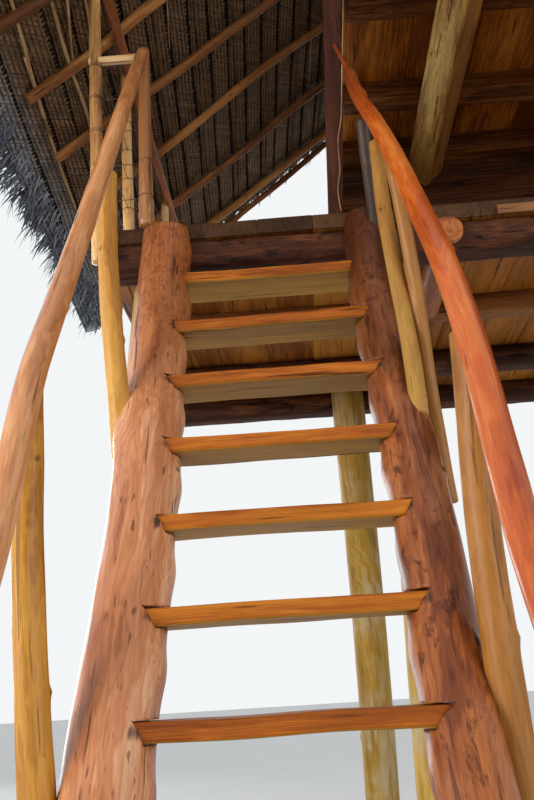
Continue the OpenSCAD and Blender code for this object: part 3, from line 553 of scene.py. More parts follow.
def roll_pole(bm, line, radii, sides=24, step=0.03, lumps=0.03, seed=0, knots=(), round_end=0.006,
              lump_size=3.2, swells=(), raw=(0.0,), grey=0.0):
    """Adds a pole. Radii and raw are spread evenly along it. Knots and swells are each given by
    their place along the pole, the angle round it, their size and their height."""
    vectors = bm.verts.layers.float_vector
    grain_layer = vectors.get("grain") or vectors.new("grain")
    floats = bm.verts.layers.float
    layers = {n: floats.get(n) or floats.new(n) for n in ("tone", "knot", "stain", "raw", "grey")}
    tone = random.Random(seed).random()
    centres, lengths = smooth_line(line, step)
    total = lengths[-1]
    inner = round_end * 0.9
    centres = np.vstack([centres[:1], centres[:1] + (centres[1] - centres[0]) * inner / step, centres[1:-1],
                         centres[-1:] + (centres[-2] - centres[-1]) * inner / step, centres[-1:]])
    lengths = np.concatenate([[0, inner], lengths[1:-1], [total - inner, total]])
    tangents = np.gradient(centres, axis=0)
    tangents /= np.linalg.norm(tangents, axis=1)[:, None]
    guide = np.array([0, 0, 1.0]) if abs(tangents[0][2]) < 0.7 else np.array([1.0, 0, 0])
    side_a = np.cross(tangents, guide)
    side_a /= np.linalg.norm(side_a, axis=1)[:, None]
    side_b = np.cross(tangents, side_a)
    plain = np.interp(lengths / total, np.linspace(0, 1, len(radii)), radii)
    raw = np.interp(lengths / total, np.linspace(0, 1, len(raw)), raw)
    plain[0] -= round_end
    plain[-1] -= round_end
    rows = len(centres) - 1
    sheet = bmesh.ops.create_grid(bm, x_segments=sides, y_segments=rows, size=0.5)["verts"]
    for vert in sheet:
        i = round((vert.co.x + 0.5) * sides)
        k = round((vert.co.y + 0.5) * rows)
        angle = 2 * math.pi * (i % sides) / sides
        spot = Vector((math.cos(angle), math.sin(angle), lengths[k] * lump_size + seed * 7.3))
        radius = plain[k] * (1 + lumps * (noise.noise(spot) + 0.5 * noise.noise(spot * 2.3)))
        bump = 0.0
        for mark_at, turn_at, size, height in knots:
            far = nearness(angle, turn_at, plain[k], lengths[k], mark_at, size)
            if far < 2:
                radius += height * math.exp(-far * far * 1.4)
                bump = max(bump, math.exp(-far * far * 3.0))
        for mark_at, turn_at, size, height in swells:
            far = nearness(angle, turn_at, plain[k], lengths[k], mark_at, size)
            radius += height * math.exp(-far * far * 1.4)
        radius = max(radius, 0.001)
        offset = (math.cos(angle) * side_a[k] + math.sin(angle) * side_b[k]) * radius
        vert.co = Vector(centres[k] + offset)
        vert[grain_layer] = Vector((math.cos(angle) * radius, math.sin(angle) * radius, lengths[k]))
        vert[layers["tone"]] = tone
        vert[layers["knot"]] = bump
        vert[layers["raw"]] = raw[k]
        vert[layers["grey"]] = grey
    bmesh.ops.remove_doubles(bm, verts=sheet, dist=1e-5)
    sheet = [v for v in sheet if v.is_valid]
    rims = dict.fromkeys(e for v in sheet for e in v.link_edges if e.is_boundary)
    bmesh.ops.holes_fill(bm, edges=list(rims), sides=0)


def scatter_knots(count, length, seed, size=0.03, height=0.006):
    dice = random.Random(seed)
    return [(dice.uniform(0.05, 0.95) * length, dice.uniform(0, 2 * math.pi), size * dice.uniform(0.6, 1.3),
             height * dice.uniform(0.5, 1.2)) for _ in range(count)]


# %% [markdown]
# Sawn and hewn timber starts as a cube that is pulled to the board's size. Its edges are bevelled,
# it is sliced along its length, and the slices are moved a little, because a board cut with a
# chain saw or an axe is never quite straight. The grain runs along the longest side.

# %% Sawing a board
def saw_board(bm, low, high, along, edge=0.004, wave=0.002, step=0.08, seed=0, dark_ends=0.0, lift=0.0):
    dice = random.Random(seed * 13 + 5)
    tone = dice.random()
    own = bmesh.new()
    grain_layer = own.verts.layers.float_vector.new("grain")
    tone_layer = own.verts.layers.float.new("tone")
    raw_layer = own.verts.layers.float.new("raw")
    bmesh.ops.create_cube(own, size=1)
    bmesh.ops.scale(own, vec=high - low, verts=own.verts)
    bmesh.ops.translate(own, vec=(low + high) / 2, verts=own.verts)
    bmesh.ops.bevel(own, geom=own.edges[:], offset=edge, offset_type="OFFSET", affect="EDGES", segments=2,
                    profile=0.5, material=-1)
    cuts = int((high[along] - low[along]) / step)
    direction = Vector((0, 0, 0))
    direction[along] = 1
    spots = [low[along] + (high[along] - low[along]) * k / cuts for k in range(1, cuts)]
    if dark_ends:
        spots += [low[along] + 0.012, high[along] - 0.012]
    for spot in spots:
        place = low.copy()
        place[along] = spot
        slice_at(own, place, direction)
    middle = (low + high) / 2
    first, second = [a for a in range(3) if a != along]
    pith = (dice.uniform(-0.3, 0.3) * (high - low)[first], dice.uniform(-1.4, -0.3) * (high - low)[second])
    thin = first if (high - low)[first] < (high - low)[second] else second
    raised = dice.uniform(-1, 1) * lift
    for vert in own.verts:
        drift = noise.noise_vector(vert.co * 1.7) * wave
        drift[along] *= 0.3
        drift[thin] += raised
        across = vert.co - middle
        vert[grain_layer] = Vector((across[first] + pith[0], across[second] + pith[1], vert.co[along]))
        vert[tone_layer] = tone
        near_end = min(vert.co[along] - low[along], high[along] - vert.co[along])
        vert[raw_layer] = dark_ends if near_end < 0.009 else 0.0
        vert.co += drift
    scrap = bpy.data.meshes.new("scrap_board")
    own.to_mesh(scrap)
    own.free()
    bm.from_mesh(scrap)
    bpy.data.meshes.remove(scrap)


def saw_boards(node, along, slot, close=0.0, **work):
    """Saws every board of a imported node. Close is added to both long edges to shut the seams."""
    bm = bmesh.new()
    bm.verts.layers.float_vector.new("grain")
    for name in ("tone", "raw"):
        bm.verts.layers.float.new(name)
    for k, solid in enumerate(solids(node)):
        low, high = corners(solid)
        widest = max((a for a in range(3) if a != along), key=lambda a: (high - low)[a])
        low[widest] -= close
        high[widest] += close
        saw_board(bm, low, high, along, seed=k + 1, **work)
    return hand_over(node + "_sawn", to_mesh(node, bm), slot, [node])


# %% [markdown]
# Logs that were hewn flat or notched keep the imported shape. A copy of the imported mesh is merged
# and remeshed into small even faces, softened, and roughened with a noise, which gives the rounded
# arrises and the axe marks of the real ones. Its grain is measured from the axis of the log.

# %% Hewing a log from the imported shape
def lay_grain(mesh, solid_axes, along):
    """Writes grain and tone on a mesh of straight logs. Each axis is its two measures across."""
    points = points_of(mesh)
    others = [a for a in range(3) if a != along]
    axes = np.array(solid_axes)
    gaps = np.linalg.norm(points[:, None, others] - axes[None, :, :], axis=2)
    nearest = gaps.argmin(1)
    across = points[:, others] - axes[nearest]
    write_on(mesh, "grain", np.column_stack([across, points[:, along]]))
    write_on(mesh, "tone", (nearest * 0.37 + 0.21) % 1)


AXE_MARKS = 14.0


def hew(node, along, slot, axes, size, rough, painted_shade_share=None):
    """Painted shade share gives, for a point and the way it faces, how much shade to paint in the second
    colour.
    """
    bm = packed_copy(node)
    rough_mesh = bpy.data.meshes.new("log_blank")
    bm.to_mesh(rough_mesh)
    bm.free()
    blank = as_object("log_blank", rough_mesh)
    remesh = blank.modifiers.new("even_faces", "REMESH")
    remesh.mode = "VOXEL"
    remesh.voxel_size = size
    fine = bpy.data.meshes.new_from_object(blank.evaluated_get(bpy.context.evaluated_depsgraph_get()))
    bpy.data.objects.remove(blank)
    bpy.data.meshes.remove(rough_mesh)
    lay_grain(fine, axes, along)
    bm = bmesh.new()
    bm.from_mesh(fine)
    for _ in range(3):
        bmesh.ops.smooth_vert(bm, verts=bm.verts, factor=0.5, use_axis_x=True, use_axis_y=True,
                              use_axis_z=True)
    bm.normal_update()
    # Where a painted shade share is given, the raw attribute carries painted shade.
    if painted_shade_share:
        raw_layer = bm.verts.layers.float.new("raw")
        for vert in bm.verts:
            vert[raw_layer] = painted_shade_share(vert.co, vert.normal)
    moves = []
    for vert in bm.verts:
        spot = vert.co.copy()
        spot[along] *= 0.35
        height = noise.noise(spot * AXE_MARKS) + 0.6 * noise.noise(spot * AXE_MARKS * 2.7)
        moves.append(vert.normal * height * rough)
    for vert, move in zip(bm.verts, moves):
        vert.co += move
    bm.to_mesh(fine)
    bm.free()
    return hand_over(node + "_hewn", fine, slot, [node])


# %% [markdown]
# The stair is the piece that takes the most skill: two natural logs, each mortised by hand for
# ten planks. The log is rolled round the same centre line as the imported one, cut level at the
# ground and at the deck, and the mortises are cut with slightly uneven blocks, a little larger
# than the tread ends, as a chisel leaves them. The wood round a mortise is stained dark.

# %% Centre lines of the stair logs
RISE = 0.28
GOING = 0.16
THICK = 0.048
DECK = 11 * RISE
HALF_TREAD = 0.37


def stair_log_point(side, set_out, height):
    share = (max(0.0, height - 2.3) / (DECK - 2.3)) ** 2
    ring = (height + RISE) / (DECK + 1.5 * RISE) * 33
    sway = 0.007 * math.sin(math.radians(70 * ring / 3))
    return at(side * (HALF_TREAD + set_out) + sway, height * GOING / RISE + 0.095 - 0.11 * share, height)


def lay_line_grain(mesh, line, tone):
    """Writes grain and tone on a mesh that follows a centre line."""
    points = points_of(mesh)
    centres, lengths = smooth_line(line, 0.1)
    nearest = np.linalg.norm(points[:, None, :] - centres[None, :, :], axis=2).argmin(1)
    tangents = np.gradient(centres, axis=0)
    tangents /= np.linalg.norm(tangents, axis=1)[:, None]
    offset = points - centres[nearest]
    run = (offset * tangents[nearest]).sum(1)
    side_a = np.cross(tangents, [0, 0, 1.0])
    side_a /= np.linalg.norm(side_a, axis=1)[:, None]
    side_b = np.cross(tangents, side_a)
    across_a = (offset * side_a[nearest]).sum(1)
    across_b = (offset * side_b[nearest]).sum(1)
    write_on(mesh, "grain", np.stack([across_a, across_b, lengths[nearest] + run], 1))
    write_on(mesh, "tone", np.full(len(points), tone))
    return points


# %% The mortised logs
def plain_block(bm, low, high):
    block = bmesh.ops.create_cube(bm, size=1)["verts"]
    bmesh.ops.scale(bm, vec=high - low, verts=block)
    bmesh.ops.translate(bm, vec=(low + high) / 2, verts=block)
    return block


def mortise_block(bm, low, high, seed):
    """A block whose corners are a little off, as a chisel leaves them."""
    dice = random.Random(seed)
    for vert in plain_block(bm, low, high):
        vert.co += Vector((0, dice.uniform(-0.004, 0.004), dice.uniform(-0.003, 0.003)))


def cut_away(mesh, block):
    """The mesh without what lies inside the block."""
    piece = as_object("blank", mesh)
    cutter = as_object("block", to_mesh("block", block))
    tool = piece.modifiers.new("cut", "BOOLEAN")
    tool.operation = "DIFFERENCE"
    tool.solver = "EXACT"
    tool.object = cutter
    mesh = bpy.data.meshes.new_from_object(piece.evaluated_get(bpy.context.evaluated_depsgraph_get()))
    bpy.data.objects.remove(cutter)
    bpy.data.objects.remove(piece)
    return mesh


def mortise_stain(points, side):
    """How dark each point is made by the mortise that it is near."""
    stain = np.zeros(len(points))
    for k in range(1, 11):
        end = at(side * HALF_TREAD, k * GOING + 0.085, k * RISE - THICK / 2)
        reach = np.abs(points - np.array(end)) / np.array([0.030, 0.110, 0.030])
        stain = np.maximum(stain, 1 - np.clip((np.linalg.norm(reach, axis=1) - 0.7) / 0.75, 0, 1))
    return stain


def stair_log(node, side, set_out, foot_d, head_d, slot, knots, tone, bulges=()):
    """Knots and bulges are marks as roll_pole takes them. Set out is how far the log's axis lies
    beyond the treads' ends."""
    line = [stair_log_point(side, set_out, -0.25 + 0.14 * k) for k in range(26)]
    run = math.hypot(RISE, GOING) / RISE
    inner_side = math.pi * (1.5 if side < 0 else 0.5)
    dice = random.Random(7 + side)
    swells = [(((k + 0.42) * RISE + 0.25) * run, inner_side + dice.uniform(-0.3, 0.3), 0.075,
               dice.uniform(0.006, 0.012)) for k in range(11)]
    swells += bulges
    bm = bmesh.new()
    roll_pole(bm, line, [foot_d / 2, head_d / 2], sides=76, step=0.012, lumps=0.05, seed=3 + side,
              knots=knots, lump_size=2.6, swells=swells)
    saw_off(bm, at(0, 0, 0), (0, 0, -1))
    saw_off(bm, at(0, 0, DECK - 0.012), (0, 0, 1))
    saw_off(bm, at(0, -0.01, 0), (0, -1, 0))
    blocks = bmesh.new()
    for k in range(1, 11):
        low = at(-HALF_TREAD - 0.016, k * GOING - 0.004, k * RISE - THICK - 0.006)
        high = at(HALF_TREAD + 0.016, k * GOING + 0.19 + 0.008, k * RISE + 0.005)
        mortise_block(blocks, low, high, k * 5 + side)
    mesh = cut_away(to_mesh("log", bm), blocks)
    deck_notch = bmesh.new()
    plain_block(deck_notch, at(-1, 1.6997, 2.8797), at(1, 2.4, 3.4))
    mesh = cut_away(mesh, deck_notch)
    points = lay_line_grain(mesh, line, tone)
    write_on(mesh, "stain", mortise_stain(points, side))
    write_on(mesh, "raw", np.clip((points[:, 2] - 2.15) / 0.7, 0, 1))
    return hand_over(node + "_log", mesh, slot, [node])


stair_log("stringer_left", -1, 0.062, 0.224, 0.203, "stair_log_orange",
          [(0.9, 4.0, 0.02, 0.004), (1.55, 4.9, 0.016, 0.003), (2.4, 4.4, 0.022, 0.005),
           (2.0, 3.6, 0.015, 0.002), (3.2, 4.6, 0.03, 0.006)],
          0.35, [(2.62, 1.9, 0.16, 0.020), (3.30, 4.7, 0.10, 0.010)])
stair_log("stringer_right", 1, 0.044, 0.192, 0.174, "stair_log_brown",
          [(1.2, 2.6, 0.026, 0.008), (1.7, 3.9, 0.03, 0.009), (2.3, 4.1, 0.026, 0.008),
           (2.95, 3.8, 0.026, 0.008), (3.3, 3.0, 0.022, 0.006)], 0.6)

# %% [markdown]
# A tread is one thick plank with a rounded front edge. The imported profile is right, so its copy
# is only sliced along the length and worn a little: the edges wander by a few millimetres, as
# those of a plank cut by hand.

# %% Treads
def tread_plank(node, seed):
    bm = packed_copy(node)
    bmesh.ops.dissolve_limit(bm, angle_limit=0.02, verts=bm.verts, edges=bm.edges)
    low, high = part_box(node)
    grain_layer = bm.verts.layers.float_vector.new("grain")
    tone_layer = bm.verts.layers.float.new("tone")
    raw_layer = bm.verts.layers.float.new("raw")
    for k in range(1, 30):
        slice_at(bm, Vector((low.x + (high.x - low.x) * k / 30, 0, 0)), (1, 0, 0))
    tone = random.Random(seed).random()
    middle = (low + high) / 2
    for vert in bm.verts:
        spot = Vector((vert.co.x * 4.0, vert.co.y * 3.0, seed * 3.7 + vert.co.z * 2.0))
        front = 1.0 if vert.co.y < middle.y else 0.5
        drift = Vector((0, noise.noise(spot) * 0.006 * front, noise.noise(spot + Vector((9, 4, 2))) * 0.004))
        across = vert.co - middle
        vert[grain_layer] = Vector((across.y + 0.02 * seed, across.z - 0.10, vert.co.x))
        vert[tone_layer] = tone
        vert[raw_layer] = 1.0 if vert.co.z < low.z + 0.004 else 0.0
        vert.co += drift
    return hand_over(node + "_plank", to_mesh(node, bm), "tread_plank", [node], smooth=False)


for k in range(1, 11):
    tread_plank(f"tread_{k:02d}", k)

# %% [markdown]
# The handrails are two long bent poles, peeled and varnished, that swing out and back beside the
# stair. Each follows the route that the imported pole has. The right one tapers to a thin end at
# the flat post and the left one ends at the short guard pole.

# %% Handrails
def beside(side, out, behind, steps):
    """A place beside the stair: out from a nosing's end, behind the nosing line, and up in risers."""
    return at(side * (HALF_TREAD + out / 1000), steps * GOING + behind / 1000, steps * RISE)


LEFT_RAIL = [(142, -588, 14.68), (152, -606, 13.54), (170, -606, 12.04), (186, -604, 10.71),
             (202, -603, 9.39), (222, -597, 8.11), (238, -592, 7.11), (250, -539, 6.21), (254, -507, 5.36),
             (256, -526, 4.54)]
RIGHT_RAIL = [(-8, -567, 14.11), (38, -509, 13.43), (60, -474, 12.71), (84, -529, 11.68),
              (106, -576, 10.54), (128, -600, 9.25), (152, -601, 8.07), (170, -541, 7.07), (180, -455, 6),
              (186, -396, 5.04), (194, -397, 4.11)]


def handrail(node, side, route, foot_d, head_share, taper, knots, slot, wall_y, seed, twig=0,
             dark_head=(0.0,)):
    """The route runs from the head down. Twig is how many of the 81 radii belong to a thin tip."""
    line = [beside(side, *p) for p in route]
    radii = [foot_d / 2 * (head_share + (1 - head_share) * (k / 80) ** taper) for k in range(81)]
    radii[:twig] = [0.008 + 0.0007 * k for k in range(twig)]
    bm = bmesh.new()
    roll_pole(bm, line, radii, sides=36, step=0.014, lumps=0.035, seed=seed, knots=knots, round_end=0.008,
              raw=dark_head)
    saw_off(bm, at(0, wall_y, 0), (0, 1, 0))
    return hand_over(node + "_pole", to_mesh(node, bm), slot, [node])


handrail("handrail_left", -1, LEFT_RAIL, 0.080, 0.7, 1.0,
         [(2.16, 4.6, 0.014, 0.005), (2.33, 5.2, 0.012, 0.004), (1.1, 3.3, 0.012, 0.003)],
         "rail_pole", 1.652, 11)
handrail("handrail_right", 1, RIGHT_RAIL, 0.090, 0.58, 0.75,
         [(0.43, 4.7, 0.05, 0.008), (1.35, 4.2, 0.012, 0.004), (1.9, 5.0, 0.016, 0.005),
          (2.5, 3.6, 0.014, 0.004)],
         "rail_pole_bright", 1.7147, 12, twig=6, dark_head=[1.0, 0.9] + [0.0] * 10)

# %% [markdown]
# The posts that carry the handrails are slimmer poles. Two stand on the ground, and the others are
# let into the stair logs or stand by them. Their heads are hollowed to the rail, so here they
# simply end inside it. Each row of the lists gives one post: its side, foot and head, how far it
# bows and waves, its diameter, and how much of the second colour and of the grey it shows.

# %% Rail posts
def rail_posts(node, posts):
    bm = bmesh.new()
    for seed, (side, foot, head, bow, wave, diameter, raw, grey) in enumerate(posts):
        foot = beside(side, *foot)
        head = beside(side, *head)
        line = []
        for t in range(13):
            share = t / 12
            sway = bow * math.sin(math.pi * share) + wave * math.sin(2 * math.pi * share)
            line.append(foot + (head - foot) * share + Vector((sway, 0, 0)))
        length = (head - foot).length
        radii = [diameter * 0.52, diameter * 0.53, diameter * 0.47]
        roll_pole(bm, line, radii, sides=28, step=0.02, lumps=0.09, seed=seed * 3 + 21,
                  knots=scatter_knots(4, length, seed + 5, 0.016, 0.006), raw=(raw,), grey=grey)
    return hand_over(node + "_poles", to_mesh(node, bm), "yellow_pole", [node])


rail_posts("rail_posts_left", [
    (-1, (190, 640, 0), (250, -560, 7), 0.004, 0.012, 0.080, 0.0, 0.0),
    (-1, (148, 120, 6.9), (188, -545, 10.75), -0.014, 0.004, 0.070, 0.25, 0.0),
])
rail_posts("rail_posts_right", [
    (1, (175, 760, 0), (166, -522, 7.36), -0.016, 0.008, 0.088, 0.85, 0.0),
    (1, (98, 32, 7.1), (78, -486, 11.2), -0.004, 0.006, 0.056, 0.1, 0.4),
    (1, (182, 317, 6.14), (98, -553, 10.55), 0.006, -0.006, 0.050, 0.75, 0.2),
    (1, (87, -6, 10.48), (58, -461, 12.0), 0.002, 0.003, 0.056, 1.0, 1.0),
])

# %% [markdown]
# Under the deck lie bark-covered logs that were only hewn flat where the boards and the stilts
# bear, a squared joist, and two round girders whose ends show in front. All are hewn from the
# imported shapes, which have the right laps and notches.

# %% Logs under the deck
def axis_of(solid, along):
    low, high = corners(solid)
    middle = (low + high) / 2
    return [middle[a] for a in range(3) if a != along]


def painted_shade_right_and_rear(place, facing):
    """Painted shade: the right faces of the loft girders and their ends at the back are painted brown."""
    turned = min(max(facing.x * 1.6 + 0.1, 0), 1)
    far_back = min(max((place.y - 1.2) / 0.5, 0), 1)
    return max(turned, 0.9 * far_back)


for node, along, slot, size, rough, painted_shade_share in (
    ("rim_beam", 0, "dark_log", 0.014, 0.0035, None),
    ("rear_beams", 0, "dark_log", 0.021, 0.0035, None),
    ("deck_girders", 1, "round_log", 0.014, 0.0015, None),
    ("loft_girders", 1, "pale_girder", 0.016, 0.0030, painted_shade_right_and_rear),
    ("loft_cross_beams", 0, "dark_log", 0.017, 0.0025, None),
):
    hew(node, along, slot, [axis_of(s, along) for s in solids(node)], size, rough, painted_shade_share=painted_shade_share)

# %% [markdown]
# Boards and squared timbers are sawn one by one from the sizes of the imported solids. The deck
# boards run from front to back, the loft boards too, and the wall boards lie across.

# %% Boards
saw_boards("deck_joist", 0, "sawn_joist", edge=0.006, wave=0.004)
# The deck boards' ends get the dark second colour: end grain, darkened further as painted shade.
saw_boards("deck_boards", 1, "deck_plank", close=0.0019, edge=0.004, wave=0.004, dark_ends=1.0, lift=0.0015)
saw_boards("front_slat", 0, "pale_slat", edge=0.002, wave=0.002)
saw_boards("loft_joists", 0, "dark_joist", edge=0.008, wave=0.008)
saw_boards("loft_boards", 1, "loft_plank", close=0.0006, edge=0.003, wave=0.003, lift=0.001)
saw_boards("rear_wall", 0, "wall_board", close=0.0019, edge=0.004, wave=0.003, lift=0.003)

# %% [markdown]
# The flat posts at the front of the room lean a little and widen upwards. Their copies are sliced
# and worn like the treads.

# %% Flat posts
def flat_posts(node):
    bm = packed_copy(node)
    bmesh.ops.dissolve_limit(bm, angle_limit=0.02, verts=bm.verts, edges=bm.edges)
    corner_edges = [e for e in bm.edges if len(e.link_faces) == 2 and e.calc_face_angle() > 1.2]
    sharp = [e for e in corner_edges if e.calc_length() > 0.04]
    bmesh.ops.bevel(bm, geom=sharp, offset=0.004, offset_type="OFFSET", affect="EDGES", segments=2,
                    profile=0.5, material=-1)
    low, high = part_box(node)
    for k in range(1, 24):
        slice_at(bm, Vector((0, 0, low.z + (high.z - low.z) * k / 24)), (0, 0, 1))
    grain_layer = bm.verts.layers.float_vector.new("grain")
    tone_layer = bm.verts.layers.float.new("tone")
    for vert in bm.verts:
        lean = 0.088 * (vert.co.z - low.z) / (high.z - low.z)
        side = math.copysign(1, vert.co.x)
        vert[grain_layer] = Vector((vert.co.x - side * (lean - 1.2), vert.co.y - low.y + 0.05, vert.co.z))
        vert[tone_layer] = 0.4 + 0.1 * side
        vert.co += noise.noise_vector(vert.co * 3.0) * 0.003
    return hand_over(node + "_worn", to_mesh(node, bm), "red_post", [node], smooth=False)


flat_posts("loft_posts_front")

# %% [markdown]
# A thin pale wire is drawn down the front of the left flat post, from the loft's front joist to the
# deck. It lies close to the post and follows its lean, with a few kinks where it was bent by hand.

# %% The wire on the left flat post
WIRE_KINKS = [(-1.055, 4.50), (-1.069, 4.22), (-1.104, 3.87), (-1.135, 3.57), (-1.159, 3.45),
              (-1.164, 3.30), (-1.181, 3.20), (-1.176, 3.09)]
post_wire_bm = bmesh.new()
roll_pole(post_wire_bm, [Vector((x, -0.558, z)) for x, z in WIRE_KINKS], [0.0028, 0.0028], sides=8,
          step=0.02, lumps=0.1, seed=4, round_end=0.0005)
hand_over("post_wire", to_mesh("post_wire", post_wire_bm), "guard_wire", (), crooked_stick)

# %% [markdown]
# The stilts are peeled logs that bow slightly. Their packed rings are level, so each ring gives a
# point of the centre line and a radius.

# %% Stilts
SHOULDER = 2.88
SHOULDER_Y = 3.831 - 2.2675


def shoulder_cut(mesh, line):
    """Cuts away the rear half of a stilt's head, and leaves a tongue in front of the rear log."""
    block = bmesh.new()
    corner = Vector((line[-1].x - 0.5, SHOULDER_Y, SHOULDER))
    plain_block(block, corner, corner + Vector((1, 1, 1)))
    mesh = cut_away(mesh, block)
    lay_line_grain(mesh, line, 0.4)
    return mesh


def stilts(node):
    bm = bmesh.new()
    for k, solid in enumerate(solids(node)):
        line, radii = level_line(solid, 2)
        top = max(solid[:, 2])
        shouldered = top > SHOULDER + 0.1
        if shouldered:
            kept = [(p, r) for p, r in zip(line, radii) if p.z < SHOULDER - 0.05]
            line = [p for p, r in kept]
            radii = [r for p, r in kept]
            rise = (line[-1] - line[-2]) / (line[-1].z - line[-2].z)
            line.append(line[-1] + rise * (top - line[-1].z))
            radii.append(radii[-1])
        length = (line[-1] - line[0]).length
        marks = scatter_knots(3, length, k + len(node), 0.03, 0.0066)
        own = bmesh.new()
        roll_pole(own, line, radii, sides=32, step=0.04, lumps=0.014, seed=k + len(node), knots=marks)
        mesh = to_mesh("stilt", own)
        if shouldered:
            mesh = shoulder_cut(mesh, line)
        bm.from_mesh(mesh)
        bpy.data.meshes.remove(mesh)
    return hand_over(node + "_round", to_mesh(node, bm), "pale_log", [node])


stilts("stilts_left")
stilts("stilts_right")

# %% [markdown]
# The guard is a row of thin poles that reach up to the leaf, with wires drawn through them and
# bound once round each. A short round tie joins the two front poles. The wires are
# pulled tight by hand, so they sag by a few millimetres.

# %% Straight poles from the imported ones
def straight_poles(node, slot, radii, sides, step, bend, knots=3, lumps=0.05, line_of=long_line):
    """Replaces straight packed poles, and gives the two ends of each."""
    bm = bmesh.new()
    lines = []
    for k, solid in enumerate(solids(node)):
        first, last = line_of(solid)
        dice = random.Random(k * 17 + len(node))
        sway = Vector((dice.uniform(-1, 1), dice.uniform(-1, 1), dice.uniform(-1, 1))) * bend
        length = (last - first).length
        line = [first + (last - first) * t / 8 + sway * math.sin(math.pi * t / 8)
                + sway.yzx * 0.5 * math.sin(2 * math.pi * t / 8) for t in range(9)]
        lines.append((first, last))
        roll_pole(bm, line, radii, sides=sides, step=step, lumps=lumps, seed=k + len(node),
                  knots=scatter_knots(knots, length, k + 3, radii[0] * 0.5, radii[0] * 0.16))
    hand_over(node + "_round", to_mesh(node, bm), slot, [node])
    return lines


def upright(solid):
    low, high = corners(solid)
    foot = solid[solid[:, 2] < low.z + 0.004].mean(0)
    head = solid[solid[:, 2] > high.z - 0.004].mean(0)
    return Vector(foot), Vector(head)


guard_lines = {}
for side in ("left", "right"):
    guard_lines[side] = straight_poles("guard_poles_" + side, "guard_pole", [0.030, 0.026], 20, 0.028, 0.004,
                                       knots=6, lumps=0.06, line_of=upright)

# %% Wires, their bindings and the tie
def guard_wires(side):
    node = "guard_wires_" + side
    bm = bmesh.new()
    tie = bmesh.new()
    poles = guard_lines[side]
    for k, solid in enumerate(solids(node)):
        first, last = long_line(solid)
        thick = min(corners(solid)[1] - corners(solid)[0])
        if thick > 0.02:
            line = [first + (last - first) * t / 4 for t in range(5)]
            roll_pole(tie, line, [0.021, 0.020], sides=20, step=0.02, lumps=0.10, seed=5)
            continue
        sag = 0.004 + 0.003 * random.Random(k).random()
        count = 12
        line = [first + (last - first) * t / count + Vector((0, 0, -sag)) * math.sin(math.pi * t / count)
                for t in range(count + 1)]
        roll_pole(bm, line, [0.0018, 0.0018], sides=6, step=0.08, lumps=0.0, seed=k, round_end=0.0002)
        for foot, head in poles:
            bind(bm, first, last, foot, head)
    hand_over(node + "_drawn", to_mesh(node, bm), "guard_wire", [node])
    return hand_over("guard_tie_" + side, to_mesh(node, tie), "guard_pole")


def bind(bm, first, last, foot, head):
    """A turn of wire round a pole where a drawn wire passes it."""
    run = last - first
    height = (first.z + last.z) / 2
    share = (height - foot.z) / (head.z - foot.z)
    if not 0.02 < share < 0.98:
        return
    centre = foot + (head - foot) * share
    flat = Vector((run.x, run.y, 0)).normalized()
    to_pole = centre - first
    along = to_pole.dot(flat)
    beside_it = to_pole - flat * along
    if math.hypot(beside_it.x, beside_it.y) > 0.02 or not -0.05 < along < run.length + 0.05:
        return
    radius = 0.030 - 0.004 * share + 0.0015
    turns = [centre + Vector((math.cos(a) * radius, math.sin(a) * radius, 0.001 + a * 0.0005))
             for a in (2 * math.pi * i / 10 for i in range(13))]
    roll_pole(bm, turns, [0.0013, 0.0013], sides=5, step=0.012, lumps=0.0, seed=1, round_end=0.0002)


for side in ("left", "right"):
    guard_wires(side)

# %% [markdown]
# Plates, ridge pole, ridge posts and the round posts of the room are peeled poles as well.

# %% Poles of the frame
straight_poles("wall_plates", "round_log", [0.025, 0.025], 20, 0.05, 0.0, knots=6)
straight_poles("ridge_pole", "round_log", [0.050, 0.048], 28, 0.05, 0.0, knots=5)
straight_poles("ridge_posts", "round_log", [0.044, 0.042], 28, 0.04, 0.003, line_of=upright)
straight_poles("loft_posts_rear", "round_log", [0.055, 0.053], 32, 0.04, 0.003, line_of=upright)

# %% [markdown]
# The roof is easiest to build lying flat. Every point of it is given by how far it is down the
# slope, how far back along the ridge, and how far out from the rafters' axes, and one function
# sets it on the left or the right slope.

# %% Measures on a slope
PITCH = math.radians(38.7)
APEX = 6.2
LEAF_FRONT = 0.755 - 2.2675
LEAF_REAR = 4.545 - 2.2675
LEAF_LENGTH = 3.71
SKEW = math.radians(5)


def on_slope(side, down, along, out):
    x = side * (down * math.cos(PITCH) + out * math.sin(PITCH))
    return Vector((x, along, APEX - down * math.sin(PITCH) + out * math.cos(PITCH)))


def slopes_from_flat(side, flat):
    """The same for a whole array of places."""
    down, along, out = flat[:, 0], flat[:, 1], flat[:, 2]
    x = side * (down * math.cos(PITCH) + out * math.sin(PITCH))
    return np.stack([x, along, APEX - down * math.sin(PITCH) + out * math.cos(PITCH)], 1)


# %% [markdown]
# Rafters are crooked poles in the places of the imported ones, and the laths across them are split
# strips. A few bent sticks lie tucked between the rafters and the leaf, most of them at the eaves.

# %% Rafters, laths and sticks
def rafters(side, sign):
    node = "rafters_" + side
    bm = bmesh.new()
    for k, solid in enumerate(solids(node)):
        low, high = corners(solid)
        along = (low.y + high.y) / 2
        radius = (high.y - low.y) / 2
        dice = random.Random(k * 5 + 2)
        bends = [dice.uniform(-0.020, 0.020) for _ in range(9)]
        outs = [0.023 - radius + dice.uniform(-0.003, 0.003) for _ in range(9)]
        line = [on_slope(sign, 0.04 + 3.38 * t / 8, along + bends[t], outs[t]) for t in range(9)]
        roll_pole(bm, line, [radius * 1.15, radius * 1.25], sides=18, step=0.05, lumps=0.16, seed=k + 31,
                  knots=scatter_knots(7, 3.3, k + 7, 0.018, 0.008), lump_size=5.0)
    return hand_over(node + "_poles", to_mesh(node, bm), "rafter_pole", [node])


